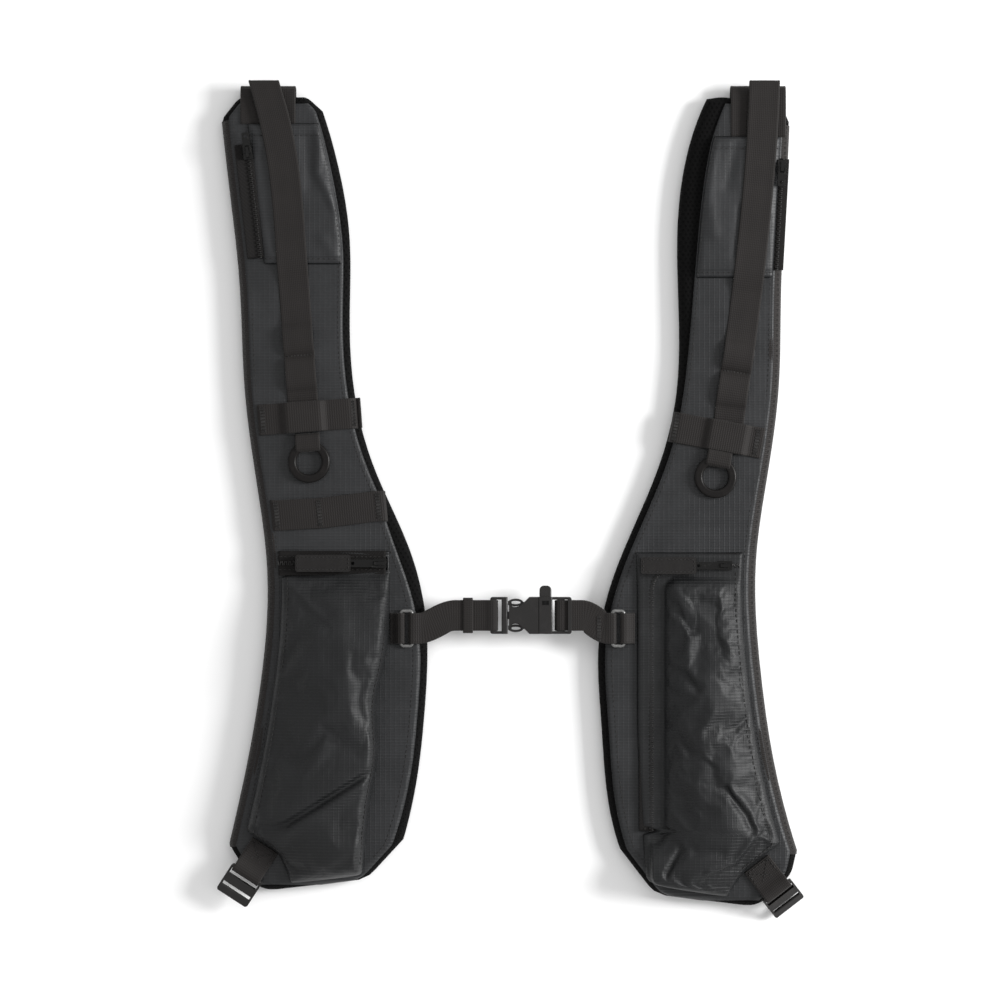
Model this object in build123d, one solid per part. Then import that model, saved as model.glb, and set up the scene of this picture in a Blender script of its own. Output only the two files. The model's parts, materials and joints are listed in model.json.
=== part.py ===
"""A pair of padded pack shoulder straps joined by a sternum strap, lying face up, in millimetres.

+X runs across the pair, +Y towards the shoulder ends, and +Z away from the wearer. The origin is
the middle of the footprint, at the height of the back faces. Each strap is built on the +X side, where
x is the distance outwards from the middle of the pair, and the left one is then mirrored over.
"""
import math
import os
from types import SimpleNamespace

from build123d import *

# Webbing and the gap kept between pieces that move against each other
WEB_W = 20.0
WEB_T = 1.5
GAP = 0.3

# Layers of the pad, from the wearer outwards
TAPE_T = 0.6
MESH_T = 2.0
FOAM_T = 9.0
FABRIC_T = 1.0
BINDING_W = 9.0

# Yoke loop at the shoulder end
YOKE_W = 36.0
YOKE_REACH = 270.0
FOLD_REACH = 273.2

# Flat zipped pocket on the upper half of a strap
STASH_H = 4.0

# Bellows pocket on the lower half
POCKET_H = 21.0
SHELF_H = 3.0
POCKET_WALL = 1.0

# Zips
ZIP_TAPE_W = 16.0
ZIP_TAPE_T = 0.7
COIL_W = 3.0
COIL_H = 1.2
SLIDER_L = 9.0
SLIDER_T = 1.2
PULLER_W = 5.0
PULLER_T = 1.4
TAB_L = 36.0
TAB_W = 11.0

# Ring for hanging things on the strap
RING_R = 13.75
RING_BAND = 5.4
RING_T = 3.4

# Wire loops and buckle of the sternum strap
WIRE = 2.2
LOOP_W = 9.6
LOOP_IN = 20.6
BUCKLE_W = 24.0
BUCKLE_T = 7.4
BUCKLE_Y = -75.5
LOOP_Y = -84.0

# Ladder lock at the foot of a strap
LOCK_L = 21.0
LOCK_RAIL = 1.4
LOCK_T = 3.2
LOCK_CORNER = 2.4

# Rounding of the buckle's and the whistle's outer corners in plan
BUCKLE_CORNER = 1.6
MOUTH_CORNER = 3.0

# Rounding of the pad's corners in plan
HEAD_R = 9.0
FOOT_R = 18.0

FACE_Z = TAPE_T + MESH_T + FOAM_T + FABRIC_T
TOP_Z = FACE_Z + TAPE_T
STASH_Z = FACE_Z + STASH_H
SHELF_Z = FACE_Z + SHELF_H
WIRE_Z = TOP_Z + GAP + WEB_T + 0.1 + WIRE / 2
FAR = 300.0

# Moves the middle of the sternum strap so that the origin is the middle of the whole footprint
CENTRE = (-1.5, 0.8)

LEFT = SimpleNamespace(
    name="left",
    outer=[(188, 249), (182, 197), (176, 140), (173, 75), (166, 18), (158, -46), (162, -118), (171, -172),
           (183, -226)],
    foot=[(164, -257), (93, -249)],
    inner=[(121, 254), (111, 219), (103.3, 170), (103.3, 112), (99.4, 65), (87, 20), (64, -33), (53.5, -78),
           (54, -135), (59.5, -184), (68, -222)],
    head=[(132, 264), (176, 264)],
    face_edge=[(124, 248), (114, 206), (108, 160), (108, 112), (102, 65), (91, 24), (78, -20), (61.5, -70),
               (57.5, -105), (60, -150), (66, -190), (82, -240)],
    panel_top=245.0,
    panel_foot=154.0,
    yoke_x=157.0,
    lifter=[(160.5, 276), (151, 243), (144.5, 204), (140, 137), (134.2, 66), (133.4, 44)],
    loops=(116.0, 94.0, 70.0),
    band=[(166, 51.5), (98, 56.5)],
    ring_at=(131.5, 24.6),
    low_band=[(158, -10.8), (121.4, -8.9), (80, -2.0)],
    pocket_in=[(77.5, -34), (77.5, -72), (80, -102), (86, -132), (85, -165), (89, -190), (93, -222), (96, -248)],
    pocket_foot=[(141, -251), (150, -231), (180, -209)],
    pocket_top=-33.0,
    zip_path=[(150.0, -41.5), (80.0, -41.5)],
    slider_at=(84.0, -41.5),
    puller_out=1,
    stash_zip=[(170.6, 231), (162.0, 158)],
    stash_seat=FACE_Z + STASH_H - FABRIC_T,
    stash_tape_w=8.4,
    stash_pull_up=1,
    loop_x=66.6,
    tab_end=77.2,
    lock_at=(170.6, -244.0),
    lock_turn=33.0,
    lock_tilt=10.0,
    lock_tab=22.0,
)
RIGHT = SimpleNamespace(
    name="right",
    outer=[(184, 247), (181.5, 196), (178.5, 140), (177, 75), (170.5, 22), (162, -40), (165, -112), (173, -168),
           (189, -230)],
    foot=[(185, -246), (163, -267), (96, -259)],
    inner=[(129, 262), (117, 229), (110, 180), (111, 105), (108.6, 65), (96, 17), (70, -45), (58.5, -92),
           (60, -145), (65, -200), (72, -228)],
    head=[(139, 264), (178, 260)],
    face_edge=[(134, 240), (129.6, 219), (122, 150), (117, 92), (112, 56), (100, 18), (74, -42), (62, -92),
               (63.5, -145), (69, -200), (84, -248)],
    panel_top=236.5,
    panel_foot=145.0,
    yoke_x=163.0,
    lifter=[(167, 276), (166, 250), (164.2, 222), (161, 185), (156, 140), (151, 100), (144, 58), (142.5, 33)],
    loops=(104.6, 83.0, 59.4),
    band=[(174, 35), (108, 47.5)],
    ring_at=(138.1, 14.4),
    low_band=None,
    pocket_in=[(83, -34), (83.5, -100), (84, -160), (86, -200), (90, -250)],
    pocket_foot=[(142, -259), (155, -241), (184, -219)],
    pocket_top=-34.0,
    zip_path=[(150.0, -43.0), (93.0, -43.0), (93.0, -216.0)],
    slider_at=(141.0, -43.0),
    puller_out=-1,
    stash_zip=[(178.6, 222), (174.6, 150)],
    stash_seat=TOP_Z + ZIP_TAPE_T,
    stash_tape_w=7.0,
    stash_pull_up=-1,
    loop_x=71.5,
    tab_end=82.2,
    lock_at=(175.0, -255.0),
    lock_turn=37.7,
    lock_tilt=40.0,
    lock_tab=23.0,
)


def slab(face, low, high):
    """The solid that stands over a flat face between two heights."""
    return extrude(Pos(0, 0, low) * face, amount=high - low, dir=(0, 0, 1))


def box(x, y, z):
    """A box between two values on each axis."""
    size = Box(x[1] - x[0], y[1] - y[0], z[1] - z[0])
    return Pos((x[0] + x[1]) / 2, (y[0] + y[1]) / 2, (z[0] + z[1]) / 2) * size


def along_x(profile, low, high):
    """A profile drawn in Y and Z, as a prism between two X values."""
    return extrude(Plane.YZ.offset(low) * profile, amount=high - low)


def along_y(profile, low, high):
    """A profile drawn in X and Z, as a prism between two Y values."""
    return extrude(Plane.XZ.offset(-high) * profile, amount=high - low)


def webbing_profile(points, radius):
    """The side view of a webbing that follows a bent path."""
    return trace(FilletPolyline(*points, radius=radius), line_width=WEB_T)


def closed_face(*edges):
    """The flat face inside edges that join end to end."""
    return make_face([edge for part in edges for edge in part.edges()])


def outline(strap, inset=0.0):
    """The pad's outline, or the same outline drawn in by an inset."""
    outer = [(x - inset, y) for x, y in strap.outer]
    inner = [(x + inset, y) for x, y in strap.inner]
    foot = FilletPolyline(outer[-1], *[(x, y + inset) for x, y in strap.foot], inner[-1], radius=FOOT_R)
    head = FilletPolyline(inner[0], *[(x, y - inset) for x, y in strap.head], outer[0], radius=HEAD_R)
    return closed_face(Spline(*outer), foot, Spline(*inner), head)


def binding_strip(strap, width):
    """Everything within a width of the outer edge, over the pad's full height."""
    return slab(trace(Spline(*strap.outer), line_width=2 * width), 0, TOP_Z + FAR)


def face_area(strap, inset):
    """The plan area of the face fabric: outside the mesh edge and below the mesh at the top."""
    edge = [(x + inset, y) for x, y in strap.face_edge]
    top = strap.panel_top
    rest = Polyline(edge[-1], (edge[-1][0], -FAR), (FAR, -FAR), (FAR, top), (edge[0][0], top), edge[0])
    return closed_face(Spline(*edge), rest)


def core(strap):
    """The outline that the layers inside the tapes share."""
    return outline(strap, TAPE_T)


def yoke_loop(strap):
    """Wide webbing that leaves the face, turns over the shoulder end and comes back behind the pad."""
    front = TOP_Z + WEB_T / 2
    back = TAPE_T + MESH_T - WEB_T / 2
    reach = YOKE_REACH - WEB_T / 2
    path = [(strap.panel_top + 1, front), (reach, front), (reach, back), (strap.panel_top - 4, back)]
    profile = webbing_profile(path, 5.0)
    return along_x(profile, strap.yoke_x - YOKE_W / 2, strap.yoke_x + YOKE_W / 2)


def edge_binding(strap):
    """Tape folded over the outer edge."""
    strip = slab(outline(strap), 0, TOP_Z) & binding_strip(strap, BINDING_W)
    return strip - slab(core(strap), TAPE_T, FACE_Z)


def mesh_wrap(strap, yoke):
    """Mesh turned over the inner edge and the top end onto the face."""
    body = slab(outline(strap), 0, TOP_Z) - slab(core(strap), TAPE_T, FACE_Z)
    return body - slab(face_area(strap, 0), 0, TOP_Z) - binding_strip(strap, BINDING_W) - yoke


def pad_layers(strap, yoke):
    """Back mesh, foam and face fabric, one on another."""
    plan = core(strap)
    foam_low = TAPE_T + MESH_T
    return {
        "back_mesh": slab(plan, TAPE_T, foam_low) - yoke,
        "foam_core": slab(plan, foam_low, foam_low + FOAM_T),
        "face_panel": slab(plan, foam_low + FOAM_T, FACE_Z),
    }


def stash_area(strap, inset):
    """Plan area of the flat pocket, inside the binding and the mesh edge."""
    area = slab(outline(strap), 0, 1) & slab(face_area(strap, 1 + inset), 0, 1)
    area -= binding_strip(strap, BINDING_W + GAP + inset)
    limits = box((0, FAR), (strap.panel_foot + inset, strap.panel_top - inset), (0, 1))
    return (area & limits).faces().sort_by(Axis.Z)[0]


def stash_frame(strap):
    """Where the flat pocket's zip starts, and its turn from straight down."""
    (x0, y0), (x1, y1) = strap.stash_zip
    return Pos(x0, y0, 0) * Rot(0, 0, math.degrees(math.atan2(x1 - x0, y0 - y1))), math.hypot(x1 - x0, y1 - y0)


def coil_zip(length, width, tape_z):
    """A straight zip that starts at the origin and runs down -Y: its tape and raised coil."""
    tape = box((-width / 2, width / 2), (-length, 0), (tape_z - ZIP_TAPE_T, tape_z))
    coil = box((-COIL_W / 2, COIL_W / 2), (-length, 0), (tape_z, tape_z + COIL_H))
    return tape + coil


def stash_pocket(strap):
    """Flat pocket panel with a slot, the zip under the slot, its slider and its puller."""
    frame, length = stash_frame(strap)
    slot_w = COIL_W + 2 * (SLIDER_T + 2 * GAP)
    under = STASH_Z - FABRIC_T
    slot = frame * box((-slot_w / 2, slot_w / 2), (-length, 0), (under, STASH_Z + 1))
    hollow = slab(stash_area(strap, FABRIC_T), FACE_Z, under)
    zip_line = frame * coil_zip(length, strap.stash_tape_w, strap.stash_seat)
    panel = slab(stash_area(strap, 0), FACE_Z, STASH_Z) - hollow - slot
    home = frame * Pos(0, -SLIDER_L / 2 - 0.5, strap.stash_seat + COIL_H)
    slider = home * zip_slider()
    puller = home * (Rot(0, 0, 90 * strap.stash_pull_up) * zip_puller(13.0))
    return {
        "stash_panel": panel,
        "stash_zip": zip_line,
        "stash_slider": slider,
        "stash_puller": puller,
    }


def zip_slider():
    """A slider over a coil that runs along Y, with its bridge; z = 0 is the top of the coil."""
    half = COIL_W / 2 + GAP + SLIDER_T
    top = box((-half, half), (-SLIDER_L / 2, SLIDER_L / 2), (GAP, GAP + SLIDER_T))
    inside = box((-half + SLIDER_T, half - SLIDER_T), (-SLIDER_L, SLIDER_L), (-COIL_H, GAP))
    skirt = box((-half, half), (-SLIDER_L / 2, SLIDER_L / 2), (-COIL_H + GAP, GAP)) - inside
    top = fillet(top.edges().filter_by(Axis.Z), radius=0.6 * SLIDER_T)
    skirt = fillet(skirt.edges().filter_by(Axis.Z), radius=0.2 * SLIDER_T)
    return top + skirt + slider_bridge()


def slider_bridge():
    """The loop on a slider that holds the puller's pin."""
    low = GAP + SLIDER_T
    width = 2.0
    loop = box((-width / 2, width / 2), (-3.2, 3.2), (low - 0.1, low + 3.3))
    window = box((-width, width), (-2.0, 2.0), (low, low + 2.1))
    return loop - window


def zip_puller(length):
    """A puller whose pin lies in the bridge and whose tongue points along +X once turned."""
    pin_z = GAP + SLIDER_T + 1.05
    reach = PULLER_W / 2
    frame = box((-PULLER_T / 2, length), (-reach, reach), (pin_z - PULLER_T / 2, pin_z + PULLER_T / 2))
    eye = box((0.7, 4.4), (-reach + 1.1, reach - 1.1), (0, 2 * pin_z))
    hole = Pos(length - 2.6, 0, pin_z) * Cylinder(1.1, 3 * PULLER_T)
    return fillet(frame.edges().filter_by(Axis.Z), radius=1.0 * PULLER_T / 1.5) - eye - hole


def daisy_webbing(strap):
    """Webbing folded at the top end, laid down the strap, sewn into two loops and doubled at its foot."""
    fold = TOP_Z + WEB_T * 1.5
    upper = fold + WEB_T + 1.0
    on_panel = STASH_Z + WEB_T / 2
    on_face = FACE_Z + WEB_T / 2
    high = on_face + 3.2
    reach = FOLD_REACH - WEB_T / 2
    band_y = (strap.band[0][1] + strap.band[1][1]) / 2
    foot = band_y - WEB_W / 2 + 1
    path = [(strap.panel_top + 4, fold), (reach, fold), (reach, upper), (strap.panel_top + 9, upper)]
    path += [(strap.panel_top - 4, on_panel), (strap.panel_foot - 1, on_panel), (strap.panel_foot - 11, on_face)]
    for start, end in zip(strap.loops, strap.loops[1:]):
        path += [(start - 2, on_face), (start - 6, high), (end + 6, high), (end + 2, on_face)]
    path.append((foot, on_face))
    profile = webbing_profile(path, 1.0)
    doubled = box((60, 230), (foot, foot + WEB_W - 3), (FACE_Z + WEB_T, FACE_Z + 2 * WEB_T))
    plan = slab(trace(Spline(*strap.lifter), line_width=WEB_W), 0, 60)
    return (along_x(profile, 60, 230) + doubled) & plan


def flat_band(strap, points, hump):
    """Webbing sewn flat across the strap, between the tape and the mesh edge; hump clears what it covers."""
    on_face = FACE_Z + WEB_T / 2
    low, high = 60, 200
    middle, half = hump[0], WEB_W / 2 + 1.2
    lifted = on_face + hump[1]
    path = [(low, on_face), (middle - half - 3, on_face), (middle - half, lifted)]
    path += [(middle + half, lifted), (middle + half + 3, on_face), (high, on_face)]
    profile = trace(Polyline(*path) if hump[1] else Line(path[0], path[-1]), line_width=WEB_T)
    plan = slab(trace(Polyline(*points), line_width=WEB_W), 0, 60)
    inside = slab(outline(strap), 0, 60) & slab(face_area(strap, GAP), 0, 60)
    return (along_y(profile, -60, 120) & plan & inside) - binding_strip(strap, BINDING_W + GAP)


def ring_frame(strap):
    """The place of the ring's tab: the middle of the band's lower edge, with -Y along the strap."""
    (x0, y0), (x1, y1) = strap.band
    tilt = math.degrees(math.atan2(y0 - y1, x0 - x1))
    x = strap.ring_at[0]
    y = y0 + (x - x0) * (y1 - y0) / (x1 - x0) - WEB_W / 2
    return Pos(x, y, 0) * Rot(0, 0, tilt), math.hypot(x - strap.ring_at[0], y - strap.ring_at[1])


def ring_and_tab(strap):
    """The round ring, and the webbing tab folded through it."""
    frame, drop = ring_frame(strap)
    z = FACE_Z + GAP + WEB_T + 0.2 + RING_T / 2
    section = Pos(RING_R - RING_BAND / 2, 0) * RectangleRounded(RING_BAND, RING_T, 1.5)
    ring = Pos(0, -drop, z) * revolve(Plane.XZ * section, axis=Axis.Z)
    near = drop - RING_R - 0.2
    far = near + RING_BAND + 0.4
    half = RING_T / 2 + 0.2
    stem = z - half + 0.6
    void = Polyline((-GAP - WEB_T, stem), (-near, z + half), (-far, z + half), (-far, z - half),
                    (-near, z - half), (-GAP - WEB_T, stem - 0.1), close=True)
    hollow = make_face(void.edges())
    sleeve = offset(hollow, amount=WEB_T) - hollow
    width = 0.8 * WEB_W
    tab = along_x(sleeve, -width / 2, width / 2) & box((-WEB_W, WEB_W), (-FAR, -GAP), (FACE_Z + GAP, FAR))
    return {"ring": frame * ring, "ring_tab": frame * (tab - ring)}


def pocket_area(strap, inset):
    """Plan area of the bellows pocket, inside the tape and clear of the tabs."""
    top = strap.pocket_top - inset
    edge = [(x + inset, y) for x, y in strap.pocket_in]
    foot = [(x - inset * 0.7, y + inset) for x, y in strap.pocket_foot]
    start = (edge[0][0], top)
    rest = Polyline(edge[-1], *foot, (FAR, foot[-1][1]), (FAR, top), start)
    sketch = closed_face(Spline(start, *edge[1:]), rest)
    inside = slab(outline(strap, 4 + inset), 0, 1)
    area = (slab(sketch, 0, 1) & inside) - binding_strip(strap, BINDING_W + GAP + inset)
    return area.faces().sort_by(Axis.Z)[0]


def pillow(strap, inset):
    """The raised front of the bellows pocket: rounded along and across."""
    shelf = ZIP_TAPE_W + 1.5
    high = POCKET_H - inset
    low = SHELF_H - inset
    y0, y1 = strap.pocket_top - shelf - inset, strap.pocket_foot[0][1] + inset
    span = y0 - y1
    down = [(y0, low), (y0 - 0.16 * span, 0.66 * high), (y0 - 0.5 * span, high), (y0 - 0.85 * span, 0.8 * high)]
    side = closed_face(Spline(*down, (y1, 0.35 * high)), Polyline((y1, 0.35 * high), (y1, 0), (y0, 0), (y0, low)))
    x0 = min(x for x, _ in strap.pocket_in) + inset + (shelf if len(strap.zip_path) > 2 else 0)
    x1 = max(x for x, _ in strap.outer) - BINDING_W - inset
    bulge = [(x0, 0.45 * high), (x0 + 10, 0.85 * high), ((x0 + x1) / 2, high + 1), (x1 - 18, 0.75 * high)]
    across = closed_face(Spline(*bulge, (x1, 0.2 * high)),
                         Polyline((x1, 0.2 * high), (x1, 0), (x0, 0), (x0, 0.45 * high)))
    body = along_x(side, 40, 220) & along_y(across, -290, 0)
    return Pos(0, 0, FACE_Z) * body & slab(pocket_area(strap, inset), FACE_Z, FACE_Z + 60)


def zip_run(strap, width, low, high):
    """A strip of the given width over the bellows pocket's zip line."""
    path = strap.zip_path
    line = Line(*path) if len(path) == 2 else FilletPolyline(*path, radius=17)
    return slab(trace(line, line_width=width), low, high)


def bellows_pocket(strap):
    """Pocket with a raised front and a flat shelf that carries the zip, and the zip itself."""
    shelf = slab(pocket_area(strap, 0), FACE_Z, SHELF_Z)
    body = shelf + pillow(strap, 0)
    hollow = slab(pocket_area(strap, POCKET_WALL), FACE_Z, SHELF_Z - POCKET_WALL) + pillow(strap, POCKET_WALL)
    slot = zip_run(strap, ZIP_TAPE_W - 4, FACE_Z, SHELF_Z + 1)
    clear = zip_run(strap, ZIP_TAPE_W, SHELF_Z, SHELF_Z + 60)
    tape = zip_run(strap, ZIP_TAPE_W, SHELF_Z, SHELF_Z + ZIP_TAPE_T)
    coil = zip_run(strap, COIL_W, SHELF_Z + ZIP_TAPE_T, SHELF_Z + ZIP_TAPE_T + COIL_H)
    return {"pocket": body - hollow - slot - clear, "pocket_zip": tape + coil}


def pocket_pull(strap):
    """Slider, metal puller and fabric tab of the bellows pocket's zip."""
    x, y = strap.slider_at
    at = Pos(x, y, SHELF_Z + ZIP_TAPE_T + COIL_H)
    turn = Rot(0, 0, 0 if strap.puller_out > 0 else 180)
    length = 20.0
    pin_z = GAP + SLIDER_T + 1.05
    start = length - 1.2
    thick = PULLER_T / 2 + 1.1
    tab = box((start, start + TAB_L), (-TAB_W / 2, TAB_W / 2), (pin_z - thick, pin_z + thick))
    pocket = box((start - 1, start + 1.2), (-TAB_W, TAB_W), (pin_z - PULLER_T / 2, pin_z + PULLER_T / 2))
    tab = fillet(tab.edges().filter_by(Axis.Z), radius=1.6) - pocket
    return {
        "zip_slider": at * (Rot(0, 0, 90) * zip_slider()),
        "zip_puller": at * (turn * zip_puller(length)),
        "zip_tab": at * (turn * tab),
    }


def sternum_loop(strap):
    """Rectangular wire loop that joins the strap's tab to the sternum webbing."""
    plan = RectangleRounded(LOOP_W - WIRE, LOOP_IN + WIRE, 1.9)
    start = Plane(origin=(0, (LOOP_IN + WIRE) / 2, 0), z_dir=(1, 0, 0))
    wire = sweep(start * Circle(WIRE / 2), path=plan.wires()[0])
    return Pos(strap.loop_x, LOOP_Y, WIRE_Z) * wire


def sternum_tab(strap):
    """Short webbing folded through the wire loop's outer bar and sewn to the face."""
    bar = strap.loop_x + (LOOP_W - WIRE) / 2
    half = WIRE / 2 + 0.1
    end = strap.tab_end
    seat = FACE_Z + WEB_T
    upper = [(bar - half, WIRE_Z - half), (bar - half, WIRE_Z + half), (bar + half, WIRE_Z + half)]
    lower = [(end, seat + 0.05), (end, seat - 0.05), (bar + half, WIRE_Z - half)]
    hollow = make_face(Polyline(*upper, *lower, close=True).edges())
    sleeve = offset(hollow, amount=WEB_T) - hollow
    tab = along_y(sleeve, LOOP_Y - WEB_W / 2, LOOP_Y + WEB_W / 2)
    return tab & box((0, end), (-FAR, FAR), (FACE_Z, FAR))


def sternum_webbing(void, plan):
    """Webbing closed on itself round two bars; void is what it encloses, in X and Z."""
    hollow = make_face(Polyline(*void, close=True).edges())
    band = offset(hollow, amount=WEB_T) - hollow
    return along_y(band, -130, -40) & slab(trace(plan, line_width=WEB_W), 0, 60)


def left_sternum_webbing():
    """From the left wire loop to the male half of the buckle."""
    bar = -LEFT.loop_x + (LOOP_W - WIRE) / 2
    half = WIRE / 2 + 0.1
    upper = [(bar - half, half), (bar + half, half), (bar + 8, 0.05), (-16, 0.05), (-12.2, 1.65), (-7.5, 1.65)]
    void = [(x, WIRE_Z + z) for x, z in upper] + [(x, WIRE_Z - z) for x, z in reversed(upper)]
    plan = Polyline((bar - 20, LOOP_Y), (bar + 6, LOOP_Y), (-34, BUCKLE_Y), (0, BUCKLE_Y))
    return sternum_webbing(void, plan)


def right_sternum_webbing():
    """From the female half of the buckle to the right wire loop."""
    bar = RIGHT.loop_x - (LOOP_W - WIRE) / 2
    half = WIRE / 2 + 0.1
    upper = [(31.3, 2.2), (36.7, 2.2), (36.9, 0.05), (bar - 8, 0.05), (bar - half, half), (bar + half, half)]
    lower = [(bar + half, -half), (bar - half, -half), (bar - 8, -0.05), (36.9, -0.05), (36.7, -1.2), (31.3, -1.2)]
    void = [(x, WIRE_Z + z) for x, z in upper + lower]
    plan = Polyline((20, BUCKLE_Y), (43.5, BUCKLE_Y), (bar - 4.5, LOOP_Y), (bar + 20, LOOP_Y))
    return sternum_webbing(void, plan)


def keeper():
    """Elastic band that holds the two layers of the left sternum webbing together."""
    height = 2 * WEB_T + 0.1
    outer = Box(6.5, WEB_W + 3.2, height + 2.4)
    inner = Box(10, WEB_W + 0.8, height)
    return Pos(-26.5, BUCKLE_Y, WIRE_Z) * (outer - inner)


def side_rails(x, thickness, width):
    """Two rails that join the cross bars of a buckle half."""
    middle = (LOOP_IN + BUCKLE_W) / 4
    rail = Pos((x[0] + x[1]) / 2, 0, 0) * Box(x[1] - x[0], width, thickness)
    return Pos(0, middle, 0) * rail + Pos(0, -middle, 0) * rail


def rounded_plan(x, radius):
    """A tall block as wide as the buckle, with rounded corners in plan, for trimming a buckle half."""
    plan = RectangleRounded(x[1] - x[0], BUCKLE_W, radius)
    return slab(Pos((x[0] + x[1]) / 2, 0) * plan, -BUCKLE_W, BUCKLE_W)


def buckle_male():
    """Web bar, base block and guide tongue."""
    rail_w = (BUCKLE_W - LOOP_IN) / 2
    base = box((-4.6, -0.6), (-BUCKLE_W / 2, BUCKLE_W / 2), (-3.2, 3.2))
    base = fillet(base.edges().filter_by(Axis.Y), radius=1.0)
    bar = box((-12.0, -7.7), (-BUCKLE_W / 2, BUCKLE_W / 2), (-1.5, 1.5))
    bar = fillet(bar.edges().filter_by(Axis.Y), radius=1.2)
    tongue = box((-1.0, 13.0), (-2.5, 2.5), (-1.3, 1.3))
    whole = base + bar + side_rails((-10.0, -4.0), 3.4, rail_w) + tongue
    return Pos(0, BUCKLE_Y, WIRE_Z) * (whole & rounded_plan((-12.0, 14.0), BUCKLE_CORNER))


def buckle_arm(side):
    """One sprung arm: a root, an oval thumb loop and a prong."""
    root = box((-0.4, 2.0), (6.6, 9.4), (-1.5, 1.5))
    oval = slab(Pos(4.6, 8.4) * (Ellipse(5.0, 2.5) - Ellipse(3.2, 1.0)), -1.5, 1.5)
    prong = box((8.6, 16.6), (6.6, 8.8), (-1.5, 1.5))
    arm = root + oval + prong
    if side < 0:
        arm = mirror(arm, Plane.XZ)
    return Pos(0, BUCKLE_Y, WIRE_Z) * arm


def buckle_female():
    """Waisted housing, and the frame with the two bars that hold the adjustable webbing."""
    waist = Spline((0.2, 8.0), (5.0, 5.4), (10.0, 8.4), (13.5, 12.0))
    plan = closed_face(waist, Polyline((13.5, 12.0), (19.4, 12.0), (19.4, 0), (0.2, 0), (0.2, 8.0)))
    half = slab(plan, -BUCKLE_T / 2, BUCKLE_T / 2)
    housing = half + mirror(half, Plane.XZ)
    cavity = box((-1, 17.6), (-10.4, 10.4), (-1.8, 1.8))
    rails = side_rails((28.5, 41.0), 5.0, (BUCKLE_W - LOOP_IN) / 2)
    bar = box((31.5, 36.5), (-BUCKLE_W / 2, BUCKLE_W / 2), (-1.0, 2.0))
    bar = fillet(bar.edges().filter_by(Axis.Y), radius=1.2)
    end_bar = box((38.6, 41.0), (-BUCKLE_W / 2, BUCKLE_W / 2), (1.9, 4.4))
    whole = housing - cavity + rails + bar + end_bar + whistle_cradle()
    return Pos(0, BUCKLE_Y, WIRE_Z) * (whole & rounded_plan((-2.0, 41.0), BUCKLE_CORNER))


def whistle_cradle():
    """Thin tray under the whistle that joins the housing to the web frame."""
    return box((19.4, 28.6), (-BUCKLE_W / 2, BUCKLE_W / 2), (-BUCKLE_T / 2, -BUCKLE_T / 2 + 1.2))


def whistle():
    """Whistle across the buckle, with its air channel and window."""
    low = -BUCKLE_T / 2 + 1.2
    body = box((19.4, 28.5), (-BUCKLE_W / 2, BUCKLE_W / 2), (low, BUCKLE_T / 2))
    mouth = box((20.1, 27.9), (11.9, 19.4), (low, BUCKLE_T / 2 - 0.9))
    channel = box((21.4, 26.6), (-9.0, 20.0), (low + 1.3, BUCKLE_T / 2 - 2.2))
    window = box((21.8, 26.2), (6.8, 9.6), (0, BUCKLE_T))
    body = fillet(body.edges().filter_by(Axis.Y), radius=0.8)
    mouth = fillet(mouth.edges().filter_by(Axis.Y), radius=0.8)
    plan = RectangleRounded(7.8, 15.0, MOUTH_CORNER)
    mouth &= slab(Pos(24.0, 19.4 - 7.5) * plan, -BUCKLE_T, BUCKLE_T)
    return Pos(0, BUCKLE_Y, WIRE_Z) * (body + mouth - channel - window)


def lock_frame(strap):
    """The ladder lock's bar: where it is, and which way the lock points."""
    x, y = strap.lock_at
    z = FACE_Z + WEB_T + 0.2 + LOCK_T / 2
    return Pos(x, y, z) * Rot(0, 0, strap.lock_turn)


def ladder_tab(strap):
    """Webbing folded round the ladder lock's bar and sewn to the foot of the strap."""
    half = LOCK_T / 2 + 0.2
    back = strap.lock_tab
    seat = -LOCK_T / 2 - 0.2
    ends = [(back, seat + 0.05), (back, seat - 0.05)]
    void = Polyline((-half, -half), (-half, half), (half, half), *ends, (half, -half), close=True)
    hollow = make_face(void.edges())
    sleeve = offset(hollow, amount=WEB_T) - hollow
    cut = box((-FAR, FAR), (-FAR, back), (seat - WEB_T, FAR))
    return lock_frame(strap) * (along_x(sleeve, -WEB_W / 2, WEB_W / 2) & cut)


def ladder_lock(strap):
    """Moulded frame with a round top bar, a ridged middle bar and a lifted lip."""
    wide = LOOP_IN / 2 + LOCK_RAIL
    top_bar = Rot(0, 90, 0) * Cylinder(LOCK_T / 2, 2 * wide)
    rail_l = LOCK_L - LOCK_T / 2
    rails = box((-wide, wide), (-rail_l, 0), (-LOCK_T / 2, LOCK_T / 2)) - box(
        (-LOOP_IN / 2, LOOP_IN / 2), (-FAR, FAR), (-FAR, FAR))
    ridge = box((-wide, wide), (-11.6, -5.6), (-LOCK_T / 2, LOCK_T / 2 - 0.4))
    lip = box((-wide, wide), (-rail_l, -13.9), (-LOCK_T / 2 + 0.8, LOCK_T / 2))
    lip = fillet(lip.edges().filter_by(Axis.X), radius=0.8)
    plan = RectangleRounded(2 * wide, LOCK_L, LOCK_CORNER)
    corners = slab(Pos(0, LOCK_T / 2 - LOCK_L / 2) * plan, -LOCK_L, LOCK_L)
    lock = (top_bar + rails + ridge + lip) & corners
    return lock_frame(strap) * Rot(strap.lock_tilt, 0, 0) * lock


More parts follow.
